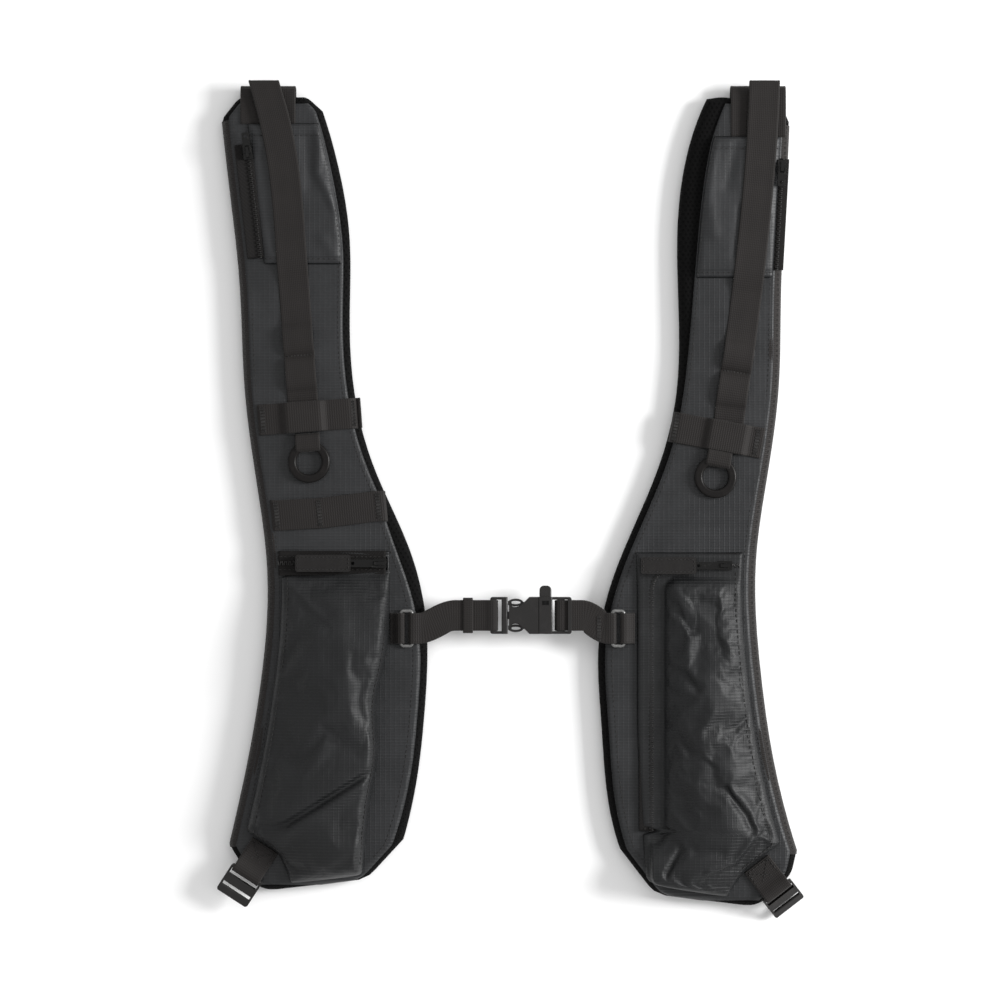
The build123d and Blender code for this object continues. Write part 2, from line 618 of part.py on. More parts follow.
def strap_pieces(strap):
    """Every piece of one strap, built on the +X side."""
    yoke = yoke_loop(strap)
    pieces = pad_layers(strap, yoke)
    pieces["yoke_loop"] = yoke
    pieces["edge_binding"] = edge_binding(strap)
    pieces["mesh_wrap"] = mesh_wrap(strap, yoke)
    pieces.update(stash_pocket(strap))
    pieces["daisy_webbing"] = daisy_webbing(strap)
    pieces["cross_band"] = flat_band(strap, strap.band, (strap.lifter[-1][0], 2 * WEB_T))
    if strap.low_band:
        pieces["lower_band"] = flat_band(strap, strap.low_band, (100.0, 0.0))
    pieces.update(ring_and_tab(strap))
    pieces.update(bellows_pocket(strap))
    pieces.update(pocket_pull(strap))
    pieces["sternum_tab"] = sternum_tab(strap)
    pieces["sternum_loop"] = sternum_loop(strap)
    pieces["ladder_tab"] = ladder_tab(strap)
    pieces["ladder_lock"] = ladder_lock(strap)
    return pieces


def sternum_pieces():
    """Every piece of the sternum strap between the two wire loops."""
    return {
        "sternum_webbing_left": left_sternum_webbing(),
        "sternum_webbing_right": right_sternum_webbing(),
        "keeper": keeper(),
        "buckle_male": buckle_male(),
        "buckle_arm_upper": buckle_arm(1),
        "buckle_arm_lower": buckle_arm(-1),
        "buckle_female": buckle_female(),
        "whistle": whistle(),
    }


def main():
    os.makedirs("parts", exist_ok=True)
    nodes = sternum_pieces()
    centre = Pos(*CENTRE, 0)
    for strap in (LEFT, RIGHT):
        for name, shape in strap_pieces(strap).items():
            placed = mirror(shape, Plane.YZ) if strap is LEFT else shape
            nodes[f"{strap.name}_{name}"] = placed
    for name, shape in nodes.items():
        export_step(centre * shape, f"parts/{name}.step")


main()
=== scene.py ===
# Two padded shoulder straps of a mountain pack with zipped pockets, joined by a sternum strap.
# Each strap is a foam pad in spacer mesh, faced with coated ripstop and bound down its outer edge,
# and it carries webbing, zips, a ring, a wire loop and a ladder lock that are sewn onto that face.
import json
import math

import bmesh
import bpy
import numpy as np
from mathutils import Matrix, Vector


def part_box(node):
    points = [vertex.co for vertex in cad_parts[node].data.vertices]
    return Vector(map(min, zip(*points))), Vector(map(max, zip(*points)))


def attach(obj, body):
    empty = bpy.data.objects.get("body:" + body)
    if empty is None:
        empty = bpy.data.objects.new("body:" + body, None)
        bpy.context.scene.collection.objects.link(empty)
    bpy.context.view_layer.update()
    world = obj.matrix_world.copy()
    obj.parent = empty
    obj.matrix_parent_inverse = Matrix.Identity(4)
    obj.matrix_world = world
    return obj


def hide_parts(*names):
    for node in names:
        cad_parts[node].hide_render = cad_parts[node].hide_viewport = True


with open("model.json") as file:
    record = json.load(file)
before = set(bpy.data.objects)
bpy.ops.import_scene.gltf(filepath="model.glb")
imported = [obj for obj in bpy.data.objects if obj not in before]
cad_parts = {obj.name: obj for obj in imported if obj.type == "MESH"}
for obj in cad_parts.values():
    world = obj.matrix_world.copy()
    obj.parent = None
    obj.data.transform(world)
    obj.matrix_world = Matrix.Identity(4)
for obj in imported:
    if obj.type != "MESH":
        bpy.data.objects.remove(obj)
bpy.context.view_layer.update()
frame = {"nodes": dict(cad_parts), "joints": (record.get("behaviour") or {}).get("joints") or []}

# ---------------------------------------------------------------------------------------------
# Foam pads. Each is a 12 mm closed-cell foam blank cut to the strap's outline and wrapped in black
# spacer mesh that shows along the inner edge, at the shoulder end and over the whole back.
MM = 0.001
SIDES = ("left", "right")
PAD_LOW = 0.2 * MM
PAD_TOP = 12.1 * MM
PAD_CROWN = 0.4 * MM
PAD_EDGE = (PAD_TOP - PAD_LOW) / 2
PAD_MIDDLE = (PAD_TOP + PAD_LOW) / 2
PAD_UNEVEN = 0.22 * MM
PAD_ROWS = 150
TUBE_SIDES = 6
edge_ends = {}
outlines = {}


class Wire:
    """One socket of a material's nodes; arithmetic on it adds Math nodes."""

    def __init__(self, tree, socket=None):
        self.tree = tree
        self.socket = socket

    def node(self, kind, settings, sockets, out=0):
        made = self.tree.nodes.new(kind)
        for name, value in settings.items():
            setattr(made, name, value)
        for name, value in sockets.items():
            if isinstance(value, Wire):
                self.tree.links.new(value.socket, made.inputs[name])
            else:
                made.inputs[name].default_value = value
        return Wire(self.tree, made.outputs[out])

    def maths(self, operation, *values):
        return self.node("ShaderNodeMath", {"operation": operation}, dict(enumerate(values)))

    def __add__(self, other):
        return self.maths("ADD", self, other)

    __radd__ = __add__

    def __sub__(self, other):
        return self.maths("SUBTRACT", self, other)

    def __rsub__(self, other):
        return self.maths("SUBTRACT", other, self)

    def __mul__(self, other):
        return self.maths("MULTIPLY", self, other)

    def between(self, low, high):
        """0 below low and 1 above high."""
        settings = {"interpolation_type": "SMOOTHSTEP"}
        sockets = {"Value": self, "From Min": low, "From Max": high}
        return self.node("ShaderNodeMapRange", settings, sockets)

    def wave(self, pitch):
        """A sine of this distance, from 0 to 1, that repeats every pitch."""
        return self.maths("SINE", self * (2 * math.pi / pitch)) * 0.5 + 0.5

    def noise(self, scale, detail=3.0, rough=0.55):
        """Noise over this vector."""
        sockets = {"Vector": self, "Scale": scale, "Detail": detail, "Roughness": rough}
        return self.node("ShaderNodeTexNoise", {}, sockets)

    def axis(self, number):
        """One component of this vector."""
        return self.node("ShaderNodeSeparateXYZ", {}, {"Vector": self}, out=number)

    def shades(self, dark, light):
        """A colour between two, by this value."""
        settings = {"data_type": "RGBA"}
        return self.node("ShaderNodeMix", settings, {0: self, 6: (*dark, 1.0), 7: (*light, 1.0)}, out=2)


def finish_of(name, build, **constants):
    """A material whose build function gives colour, roughness and bump height from its nodes."""
    made = bpy.data.materials.new(name)
    made.use_nodes = True
    tree = made.node_tree
    shader = tree.nodes["Principled BSDF"]
    for socket, value in constants.items():
        shader.inputs[socket.replace("_", " ")].default_value = value
    start = Wire(tree)
    colour, rough, height, depth = build(start)
    bump = start.node("ShaderNodeBump", {}, {"Height": height, "Distance": depth, "Strength": 1.0})
    tree.links.new(colour.socket, shader.inputs["Base Color"])
    tree.links.new(rough.socket, shader.inputs["Roughness"])
    tree.links.new(bump.socket, shader.inputs["Normal"])
    return made


def own_place(start):
    """Where a point is in its own piece, in metres."""
    return start.node("ShaderNodeTexCoord", {}, {}, out=3)


def laid_cloth(start):
    """Where a point was on the flat cloth, in metres: across it, then along it."""
    return start.node("ShaderNodeAttribute", {"attribute_name": "flat_cloth"}, {}, out=1)


def spacer_mesh(start):
    place = laid_cloth(start)
    cell = 3.1 * MM
    x, y = place.axis(0), place.axis(1)
    rows = (x + y * 0.58).wave(cell) * (x - y * 0.58).wave(cell) * y.wave(cell * 0.86)
    hole_and_shade = rows.between(0.10, 0.42)
    yarn = place.noise(2600.0)
    # Painted shade: the colour is darker in the mesh's holes, where shade falls inside them.
    shade = hole_and_shade * 0.75 + yarn * 0.25
    colour = shade.shades((0.0034, 0.0033, 0.0033), (0.0010, 0.0010, 0.0010))
    return colour, yarn * 0.15 + 0.78, (1 - hole_and_shade) + yarn * 0.3, 0.0006


mesh_finish = finish_of("spacer_mesh", spacer_mesh, Specular_IOR_Level=0.08)


def cut(node, axis, at):
    """Lowest and highest place, along the other plan axis, where a CAD node crosses a line."""
    if node not in edge_ends:
        mesh = frame["nodes"][node].data
        points = np.array([tuple(v.co) for v in mesh.vertices])
        edge_ends[node] = points[np.array([tuple(e.vertices) for e in mesh.edges])]
    first, last = edge_ends[node][:, 0], edge_ends[node][:, 1]
    low, high = first[:, axis], last[:, axis]
    hit = ((low - at) * (high - at) <= 0) & (low != high)
    share = (at - low[hit]) / (high[hit] - low[hit])
    places = first[hit, 1 - axis] + share * (last[hit, 1 - axis] - first[hit, 1 - axis])
    return (places.min(), places.max()) if len(places) else (math.nan, math.nan)


def off_line(x, y, line):
    """Distance of plan points from a line of plan points."""
    flat = np.stack([np.ravel(x), np.ravel(y)], axis=1)
    line = np.asarray(line, dtype=float)
    nearest = np.full(len(flat), np.inf)
    for start, end in zip(line, line[1:]):
        run = end - start
        share = np.clip(((flat - start) @ run) / max(run @ run, 1e-12), 0, 1)
        away = np.linalg.norm(flat - (start + share[:, None] * run), axis=1)
        nearest = np.minimum(nearest, away)
    return nearest.reshape(np.shape(x))


def steps_to_ends(low, high, count, fine):
    """Places between two ends, closer together near them."""
    middle = np.linspace(low + fine[-1], high - fine[-1], count)
    return np.concatenate([low + np.array(fine[:-1]), middle, high - np.array(fine[:-1])[::-1]])


def pad_rows(side):
    """Rows of a pad: y, and the two x at its edges, read off the foam blank."""
    low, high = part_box(f"{side}_foam_core")
    fine = [f * MM for f in (0.15, 0.6, 1.4, 2.6, 4.2, 6.4, 9.5)]
    ys = steps_to_ends(low[1], high[1], PAD_ROWS, fine)
    spans = np.array([cut(f"{side}_foam_core", 1, y) for y in ys])
    return ys, spans[:, 0], spans[:, 1]


def pad_top(side, x, y):
    """Height of the pad's face over plan points: flat, rounded over at the edge, faintly uneven."""
    if side not in outlines:
        ys, start, end = pad_rows(side)
        right = list(zip(end, ys))
        left = list(zip(start, ys))[::-1]
        outlines[side] = [*right, *left, right[0]]
    from_edge = off_line(x, y, outlines[side])
    bend = 1 - np.clip(from_edge / PAD_EDGE, 0, 1)
    crown = PAD_CROWN * np.clip(from_edge / (25 * MM), 0, 1)
    uneven = PAD_UNEVEN * np.sin(x / (13 * MM) + 1.3) * np.sin(y / (21 * MM)) * (1 - bend)
    return PAD_MIDDLE + PAD_EDGE * np.sqrt(1 - bend**2) + crown + uneven


def new_piece(name, points, faces, flat_cloth, finish, body):
    """A smooth mesh piece that knows where its cloth lay flat, has a finish and rides on a body."""
    mesh = bpy.data.meshes.new(name)
    mesh.from_pydata([tuple(p) for p in points], [], faces)
    cloth = mesh.attributes.new("flat_cloth", "FLOAT_VECTOR", "POINT")
    cloth.data.foreach_set("vector", np.asarray(flat_cloth, dtype=np.float32).ravel())
    shaper = bmesh.new()
    shaper.from_mesh(mesh)
    bmesh.ops.recalc_face_normals(shaper, faces=shaper.faces)
    shaper.to_mesh(mesh)
    shaper.free()
    mesh.polygons.foreach_set("use_smooth", [True] * len(mesh.polygons))
    mesh.materials.append(finish)
    piece = bpy.data.objects.new(name, mesh)
    bpy.context.collection.objects.link(piece)
    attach(piece, body)
    return piece


def grid_faces(rows, columns):
    """Faces of a grid of points numbered row by row."""
    corner = [r * columns + c for r in range(rows - 1) for c in range(columns - 1)]
    return [(n, n + 1, n + columns + 1, n + columns) for n in corner]


def tube_faces(base, rings, sides=TUBE_SIDES, closed=False):
    """Faces of a tube whose rings of points are numbered one after another."""
    faces = []
    for n in range(rings if closed else rings - 1):
        low, high = base + n * sides, base + (n + 1) % rings * sides
        pairs = [(k, (k + 1) % sides) for k in range(sides)]
        faces += [(low + a, low + b, high + b, high + a) for a, b in pairs]
    if not closed:
        last = base + (rings - 1) * sides
        faces += [tuple(range(base, base + sides)), tuple(range(last, last + sides))]
    return faces


def distance_along(route):
    """How far each point of a route is from its start."""
    return np.concatenate([[0], np.cumsum(np.linalg.norm(np.diff(route, axis=0), axis=1))])


def make_pad(side):
    """A foam pad with rounded edges, closed underneath."""
    ys, start, end = pad_rows(side)
    bend = PAD_EDGE * (1 - np.cos(np.radians([0, 20, 40, 60, 90])))
    share = steps_to_ends(0.0, 1.0, 16, [*(bend / (60 * MM))])
    xs = start[:, None] + (end - start)[:, None] * share
    yy = ys[:, None] + 0 * share
    top = pad_top(side, xs, yy)
    rim = np.zeros(top.shape, dtype=bool)
    rim[0] = rim[-1] = True
    rim[:, 0] = rim[:, -1] = True
    top = np.where(rim, PAD_MIDDLE, top)
    low = 2 * PAD_MIDDLE - np.minimum(top, PAD_TOP)
    upper = np.stack([xs, yy, top], axis=-1).reshape(-1, 3)
    lower = np.stack([xs, yy, low], axis=-1).reshape(-1, 3)
    rows, columns = top.shape
    inside = ~rim.ravel()
    number = np.arange(rows * columns)
    number[inside] = rows * columns + np.arange(inside.sum())
    below = [tuple(number[list(face)][::-1]) for face in grid_faces(rows, columns)]
    points = np.concatenate([upper, lower[inside]])
    faces = grid_faces(rows, columns) + below
    pad = new_piece(f"{side}_pad", points, faces, points, mesh_finish, f"{side}_strap")
    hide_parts(f"{side}_foam_core", f"{side}_back_mesh", f"{side}_mesh_wrap")


for side in SIDES:
    make_pad(side)

# ---------------------------------------------------------------------------------------------
# Face fabric. A coated ripstop with a fine raised grid and a soft sheen covers each pad inside the
# mesh edge. Its edge is turned under and topstitched in black thread.
FABRIC = 0.6 * MM
FACE_LIFT = 0.75 * MM
HEM = 2.6 * MM
HEM_DROP = 0.35 * MM
FACE_WIDE = 80.0 * MM
UNDER_BINDING = 4.5 * MM


def ripstop(start, dark=(0.0092, 0.0097, 0.0106), light=(0.0250, 0.0256, 0.0276), gloss=0.42):
    place = laid_cloth(start)
    x, y = place.axis(0), place.axis(1)
    ripple = place.noise(60.0) * 0.0006
    picks = (y + ripple).wave(2.1 * MM).between(0.70, 0.98)
    ends = (x + ripple).wave(3.3 * MM).between(0.86, 1.0)
    weave = (x.wave(0.55 * MM) + y.wave(0.5 * MM)) * 0.5
    patches = place.noise(38.0, detail=5.0).between(0.30, 0.72)
    scuffs = place.noise(420.0, detail=6.0, rough=0.7).between(0.56, 0.80)
    shade = patches * 0.40 + picks * 0.28 + scuffs * 0.22 + weave * 0.10
    colour = shade.shades(dark, light)
    rough = gloss + patches * 0.07 + weave * 0.05 + scuffs * 0.08 - picks * 0.05
    height = picks * 0.55 + ends * 0.22 + weave * 0.16 + patches * 0.9
    return colour, rough, height, 0.00022


# The bellows pockets' ripstop: the same fabric as the face, in darker colours that are painted shade.
def shaded_pocket_ripstop(start):
    return ripstop(start, dark=(0.0038, 0.0041, 0.0045), light=(0.0118, 0.0123, 0.0133), gloss=0.46)


ripstop_finish = finish_of("coated_ripstop", ripstop, Specular_IOR_Level=0.34)
shaded_pocket_finish = finish_of("coated_ripstop_pocket_shaded", shaded_pocket_ripstop, Specular_IOR_Level=0.32)


def thread(start):
    place = own_place(start)
    twist = (place.axis(0) + place.axis(1)).wave(0.7 * MM)
    fuzz = place.noise(3000.0)
    colour = (twist * 0.6 + fuzz * 0.4).shades((0.003, 0.0027, 0.0025), (0.016, 0.014, 0.013))
    return colour, fuzz * 0.2 + 0.55, twist, 0.0002


thread_finish = finish_of("thread", thread)


def thicken(piece, thickness, offset):
    """Gives a sheet of cloth its real thickness."""
    solid = piece.modifiers.new("thickness", "SOLIDIFY")
    solid.thickness = thickness
    solid.offset = offset


def sewn_cloth(name, side, grid, finish):
    """A thin cloth on a strap, from a grid of points."""
    rows, columns, _ = grid.shape
    points = grid.reshape(-1, 3)
    piece = new_piece(name, points, grid_faces(rows, columns), points, finish, f"{side}_strap")
    thicken(piece, FABRIC, 1.0)
    return piece


def cloth_area(grid):
    """Area of a cloth's grid when it lies flat."""
    across = grid[1:, 1:] - grid[:-1, :-1]
    other = grid[1:, :-1] - grid[:-1, 1:]
    return float(np.linalg.norm(np.cross(across, other), axis=-1).sum() / 2)


def declare_cloth(grid):
    """Works out how large the flat cut of a cloth is; the sizes are not kept or passed on."""
    width = float(np.linalg.norm(grid[:, -1] - grid[:, 0], axis=-1).max())
    length = float(grid[:, :, 1].max() - grid[:, :, 1].min())
    area = min(cloth_area(grid), width * length)


def stitches(name, body, lines, pitch=3.3 * MM, share=0.7, radius=0.26 * MM):
    """Rows of thread that rise out of the cloth and dip back in, one row along each line."""
    points, faces = [], []
    ring = [(math.cos(a), math.sin(a)) for a in np.radians(np.arange(0, 360, 360 / TUBE_SIDES))]
    hump = [(-0.5, 0.35, -0.9), (-0.3, 1.0, 0.25), (0.3, 1.0, 0.25), (0.5, 0.35, -0.9)]
    for line in lines:
        line = np.asarray(line, dtype=float)
        along = distance_along(line)
        count = max(1, int(along[-1] / pitch))
        for n in range(count):
            middle = (n + 0.5) * along[-1] / count
            length = share * along[-1] / count
            here = np.array([np.interp(middle, along, line[:, k]) for k in range(3)])
            ahead = np.array([np.interp(middle + length / 2, along, line[:, k]) for k in range(3)])
            way = Vector(ahead - here).normalized()
            sideways = Vector((0, 0, 1)).cross(way).normalized()
            up = way.cross(sideways)
            base = len(points)
            for place, size, rise in hump:
                centre = Vector(here) + way * (place * length) + up * (rise * radius)
                points += [tuple(centre + (sideways * c + up * s) * size * radius) for c, s in ring]
            faces += tube_faces(base, len(hump))
    return new_piece(name, points, faces, points, thread_finish, body)


def out_sign(side):
    """+1 where outwards is +X."""
    return 1 if side == "right" else -1


def face_rows(side, ys):
    """The x of the face fabric's inner edge, and of the pad's outer edge, on each row."""
    sign = out_sign(side)
    mesh = np.array([cut(f"{side}_mesh_wrap", 1, y) for y in ys])
    pad = np.array([cut(f"{side}_foam_core", 1, y) for y in ys])
    inner_pad = sign * np.min(sign * pad, axis=1)
    outer_pad = sign * np.max(sign * pad, axis=1)
    edge = sign * np.max(sign * mesh, axis=1)
    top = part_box(f"{side}_stash_panel")[1][1] - 3 * MM
    border = sign * (edge - inner_pad)
    seen = ~np.isnan(border)
    border = np.interp(np.minimum(ys, top), ys[seen], border[seen])
    border = np.clip(border, 4.5 * MM, 26 * MM)
    return inner_pad + sign * border, outer_pad


def laid_grid(side, ys, start, end, columns, lift):
    """Points over a pad: each row runs from start to end, lifted off the pad's face."""
    share = np.linspace(0, 1, columns)
    xs = start[:, None] + (end - start)[:, None] * share
    yy = ys[:, None] + 0 * share
    return np.stack([xs, yy, pad_top(side, xs, yy) + lift(xs, yy, share)], axis=-1)


def turned_edge(x, y, share):
    """Lift of the face fabric, lower along the edge that is turned under."""
    hem = np.minimum(share * FACE_WIDE, HEM) / HEM
    return FACE_LIFT - HEM_DROP * (1 - hem) + 0 * x


for side in SIDES:
    sign = out_sign(side)
    low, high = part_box(f"{side}_foam_core")
    ys = np.linspace(low[1] + 4.0 * MM, high[1] - 5.0 * MM, 180)
    inner, outer = face_rows(side, ys)
    outer = outer - sign * UNDER_BINDING
    grid = laid_grid(side, ys, inner, outer, 44, turned_edge)
    face = sewn_cloth(f"{side}_face", side, grid, ripstop_finish)
    declare_cloth(grid)
    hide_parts(f"{side}_face_panel")
    seam = grid[6:-6, 2] + np.array([0, 0, FABRIC])
    stitches(f"{side}_face_seam", f"{side}_strap", [seam])

# ---------------------------------------------------------------------------------------------
# Edge binding. Grosgrain tape 9 mm wide on each face is folded over the outer edge and sewn
# through with two rows of thread.
BINDING = 9.0 * MM
BINDING_LIFT = 1.25 * MM
TAPE = 0.6 * MM
SEAM_INSETS = (1.6 * MM, 7.4 * MM)


def grosgrain(start):
    place = laid_cloth(start)
    ribs = place.axis(1).wave(1.25 * MM)
    fibres = place.noise(1500.0, detail=4.0)
    patches = place.noise(70.0)
    shade = ribs * 0.45 + fibres * 0.30 + patches * 0.25
    colour = shade.shades((0.0060, 0.0050, 0.0046), (0.0230, 0.0195, 0.0182))
    return colour, fibres * 0.2 + 0.58, ribs * 0.8 + fibres * 0.25, 0.00030


tape_finish = finish_of("grosgrain_tape", grosgrain, Sheen_Weight=0.06, Specular_IOR_Level=0.25)

for side in SIDES:
    sign = out_sign(side)
    low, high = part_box(f"{side}_edge_binding")
    ys = np.linspace(low[1] + 1.0 * MM, high[1] - 3.0 * MM, 190)
    pad = np.array([cut(f"{side}_foam_core", 1, y) for y in ys])
    outer = sign * np.max(sign * pad, axis=1)
    route = np.stack([outer, ys], axis=1)
    way = np.gradient(route, axis=0)
    way /= np.linalg.norm(way, axis=1)[:, None]
    inward = np.stack([-way[:, 1], way[:, 0]], axis=1) * sign
    reach = np.array([BINDING, BINDING * 0.93, BINDING * 0.8, PAD_EDGE])
    turn = np.radians(np.linspace(80, -80, 9))
    width = PAD_EDGE + 0.55 * MM
    depth = [*reach, *(PAD_EDGE - width * np.cos(turn)), *reach[::-1]]
    upper = BINDING_LIFT + PAD_TOP - PAD_MIDDLE
    under = PAD_MIDDLE - 0.05 * MM
    rises = [upper - 0.35 * MM, upper, upper, upper]
    rises += list(np.where(turn > 0, upper, under) * np.sin(turn))
    rises += [-under, -under, -under, -under + 0.1 * MM]
    along = distance_along(route)
    wobble = 0.25 * MM * np.sin(along / (9 * MM)) + 0.2 * MM * np.sin(along / (23 * MM) + 2)
    grid = np.zeros((len(ys), len(depth), 3))
    flat = np.zeros_like(grid)
    for column, (inset, rise) in enumerate(zip(depth, rises)):
        share = 1 if inset > PAD_EDGE else 0
        grid[:, column, :2] = route + inward * (inset + share * wobble)[:, None]
        grid[:, column, 2] = PAD_MIDDLE + rise
        flat[:, column] = np.stack([0 * along + column * 2.2 * MM, along, 0 * along], axis=1)
    rows, columns, _ = grid.shape
    points, flat = grid.reshape(-1, 3), flat.reshape(-1, 3)
    binding = new_piece(f"{side}_binding", points, grid_faces(rows, columns), flat, tape_finish,
                        f"{side}_strap")
    thicken(binding, TAPE, -1.0)
    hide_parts(f"{side}_edge_binding")
    rows_of_thread = []
    for inset in SEAM_INSETS:
        inner_line = route + inward * inset
        lift = PAD_MIDDLE + upper - (0.9 * MM if inset < 3 * MM else 0.0)
        rows_of_thread.append(np.column_stack([inner_line, np.full(len(ys), lift + 0.05 * MM)]))
    stitches(f"{side}_binding_seam", f"{side}_strap", rows_of_thread)

# ---------------------------------------------------------------------------------------------
# Zipped flat pocket. A second layer of ripstop over the upper half of each strap, hemmed across the
# top and seamed across its foot, opens by a coil zip beside the outer binding.
STASH_PUFF = 2.6 * MM
STASH_LIFT = 1.5 * MM
STASH_WIDE = 62.0 * MM
SEAM_DIP = 0.5 * MM
HEM_WIDE = 8.0 * MM
BESIDE_ZIP = 2.4 * MM


def smooth(value):
    """Eases from 0 to 1."""
    value = np.clip(value, 0, 1)
    return value * value * (3 - 2 * value)


def dome(value):
    """Rises like a quarter circle from 0 to 1."""
    return np.sqrt(1 - (1 - np.clip(value, 0, 1)) ** 2)


def creases(x, y, lines):
    """Folds in a cloth: each is (points in mm, width in mm, height in mm, below zero for a groove)."""
    total = np.zeros_like(x)
    for points, width, height in lines:
        away = off_line(x, y, np.array(points) * MM)
        total += height * MM * np.exp(-((away / (width * MM)) ** 2))
    return total


STASH_FOLDS = {
    "left": [([(-124.5, 240), (-125.8, 214), (-114, 190)], 3.0, 1.5),
             ([(-133, 236), (-131, 205)], 4.5, -1.1),
             ([(-163, 225), (-160, 190), (-155, 165)], 4.0, -0.9),
             ([(-122, 170), (-116, 160)], 4.0, 0.7)],
    "right": [([(131, 230), (129, 200), (132, 175)], 4.0, 1.0), ([(147, 232), (141, 205)], 4.0, -0.9),
              ([(150, 190), (147, 160)], 3.5, -0.8), ([(168, 222), (167, 190)], 3.0, 0.9)],
}


def stash_lift(side, x, y, share):
    """Lift of a flat pocket's panel: puffed, folded, and drawn down along its hem and foot seam."""
    low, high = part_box(f"{side}_stash_panel")
    up = dome((y - low[1]) / (7 * MM)) * dome((high[1] - y) / (5 * MM))
    over = dome(share * STASH_WIDE / (5 * MM)) * dome((1 - share) * STASH_WIDE / (9 * MM))
    hem = np.exp(-(((high[1] - HEM_WIDE - y) / (0.9 * MM)) ** 2)) * SEAM_DIP
    seam = np.exp(-(((y - low[1] - 3.4 * MM) / (1.0 * MM)) ** 2)) * SEAM_DIP
    return STASH_LIFT + (STASH_PUFF + creases(x, y, STASH_FOLDS[side])) * up * over - hem - seam


stash_zips = {}
for side in SIDES:
    sign = out_sign(side)
    low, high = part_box(f"{side}_stash_panel")
    zip_low, zip_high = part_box(f"{side}_stash_zip")
    ys = np.linspace(low[1], high[1], 96)
    inner, outer = face_rows(side, ys)
    middle = []
    for y in (zip_low[1] + 6 * MM, zip_high[1] - 6 * MM):
        middle.append((sum(cut(f"{side}_stash_zip", 1, y)) / 2, y))
    (x0, y0), (x1, y1) = middle
    zip_x = x0 + (ys - y0) * (x1 - x0) / (y1 - y0)
    beside_zip = zip_x - sign * BESIDE_ZIP
    beside_tape = outer - sign * (BINDING - 1.0 * MM)
    tucked = sign * np.minimum(sign * beside_zip, sign * beside_tape)
    end = np.where(ys > zip_low[1] - 4 * MM, beside_zip, tucked)
    start = inner + sign * 1.0 * MM
    grid = laid_grid(side, ys, start, end, 56, lambda x, y, share: stash_lift(side, x, y, share))
    panel = sewn_cloth(f"{side}_flat_pocket", side, grid, ripstop_finish)
    declare_cloth(grid)
    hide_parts(f"{side}_stash_panel")
    lift = np.array([0, 0, FABRIC])
    hem_row = int(len(ys) * (1 - HEM_WIDE / (high[1] - low[1])))
    seams = [grid[hem_row] + lift, grid[3] + lift, grid[:, 1] + lift]
    stitches(f"{side}_flat_pocket_seams", f"{side}_strap", seams)
    stash_zips[side] = (ys, zip_x)

# ---------------------------------------------------------------------------------------------
# Webbing. All of it is 20 mm nylon webbing, 1.5 mm thick, with a ribbed face and a firm selvedge; the
# yoke is the same weave 36 mm wide. Each is a flat length laid along its route and sewn down.
WEB = 20.0 * MM
WEB_THICK = 1.5 * MM
TACK = 17.0 * MM


def webbing(start):
    place = laid_cloth(start)
    x, y = place.axis(0), place.axis(1)
    ribs = (y + x.wave(2.4 * MM) * (0.25 * MM)).wave(1.5 * MM)
    cords = x.wave(1.2 * MM)
    fibres = place.noise(1800.0, detail=4.0)
    patches = place.noise(45.0, detail=4.0)
    shade = ribs * 0.14 + fibres * 0.30 + patches * 0.56
    colour = shade.shades((0.0046, 0.0038, 0.0035), (0.0172, 0.0145, 0.0134))
    return colour, fibres * 0.18 + 0.58, ribs * 0.5 + cords * 0.3 + fibres * 0.2, 0.00022


webbing_finish = finish_of("nylon_webbing", webbing, Sheen_Weight=0.06, Specular_IOR_Level=0.22)


def rounded_route(points, turns=3, closed=False):
    """A route with its corners cut off again and again."""
    route = np.asarray(points, dtype=float)
    for _ in range(turns):
        after = np.roll(route, -1, axis=0) if closed else route[1:]
        here = route if closed else route[:-1]
        cuts = np.stack([0.75 * here + 0.25 * after, 0.25 * here + 0.75 * after], axis=1)
        cuts = cuts.reshape(-1, route.shape[1])
        route = cuts if closed else np.concatenate([route[:1], cuts, route[-1:]])
    return route


def even_route(route, step, closed=False):
    """The same route with points every step."""
    if closed:
        route = np.concatenate([route, route[:1]])
    along = distance_along(route)
    count = max(4, int(along[-1] / step))
    places = np.linspace(0, along[-1], count + 1)
    even = np.column_stack([np.interp(places, along, route[:, k]) for k in range(route.shape[1])])
    return even[:-1] if closed else even


def band(name, body, route, across, width=WEB, thick=WEB_THICK, closed=False, finish=None):
    """Webbing swept along a route; across is the way its width points, one for all or one a point."""
    route = np.asarray(route)
    across = np.broadcast_to(np.asarray(across, dtype=float), route.shape)
    if closed:
        way = np.roll(route, -1, axis=0) - np.roll(route, 1, axis=0)
    else:
        way = np.gradient(route, axis=0)
    way /= np.linalg.norm(way, axis=1)[:, None] + 1e-12
    across = across / np.linalg.norm(across, axis=1)[:, None]
    up = np.cross(way, across)
    half, high = width / 2, thick / 2
    top = [(-half + 0.15 * MM, 0.7), (-half + 0.7 * MM, 1.0), (-half + 1.8 * MM, 0.84),
           (-0.3 * half, 0.9), (0.3 * half, 0.9), (half - 1.8 * MM, 0.84), (half - 0.7 * MM, 1.0),
           (half - 0.15 * MM, 0.7)]
    section = [(-half, 0.0), *[(x, z * high) for x, z in top],
               (half, 0.0), *[(x, -z * high) for x, z in top[::-1]]]
    along = distance_along(route)
    count, ring = len(route), len(section)
    points = np.zeros((count, ring, 3))
    flat = np.zeros((count, ring, 3))
    for k, (x, z) in enumerate(section):
        points[:, k] = route + across * x + up * z
        flat[:, k] = np.stack([0 * along + x, along, 0 * along], axis=1)
    faces = tube_faces(0, count, ring, closed)
    points, flat = points.reshape(-1, 3), flat.reshape(-1, 3)
    piece = new_piece(name, points, faces, flat, finish or webbing_finish, body)
    length = float(along[-1]) + (float(np.linalg.norm(route[0] - route[-1])) if closed else 0.0)
    return piece


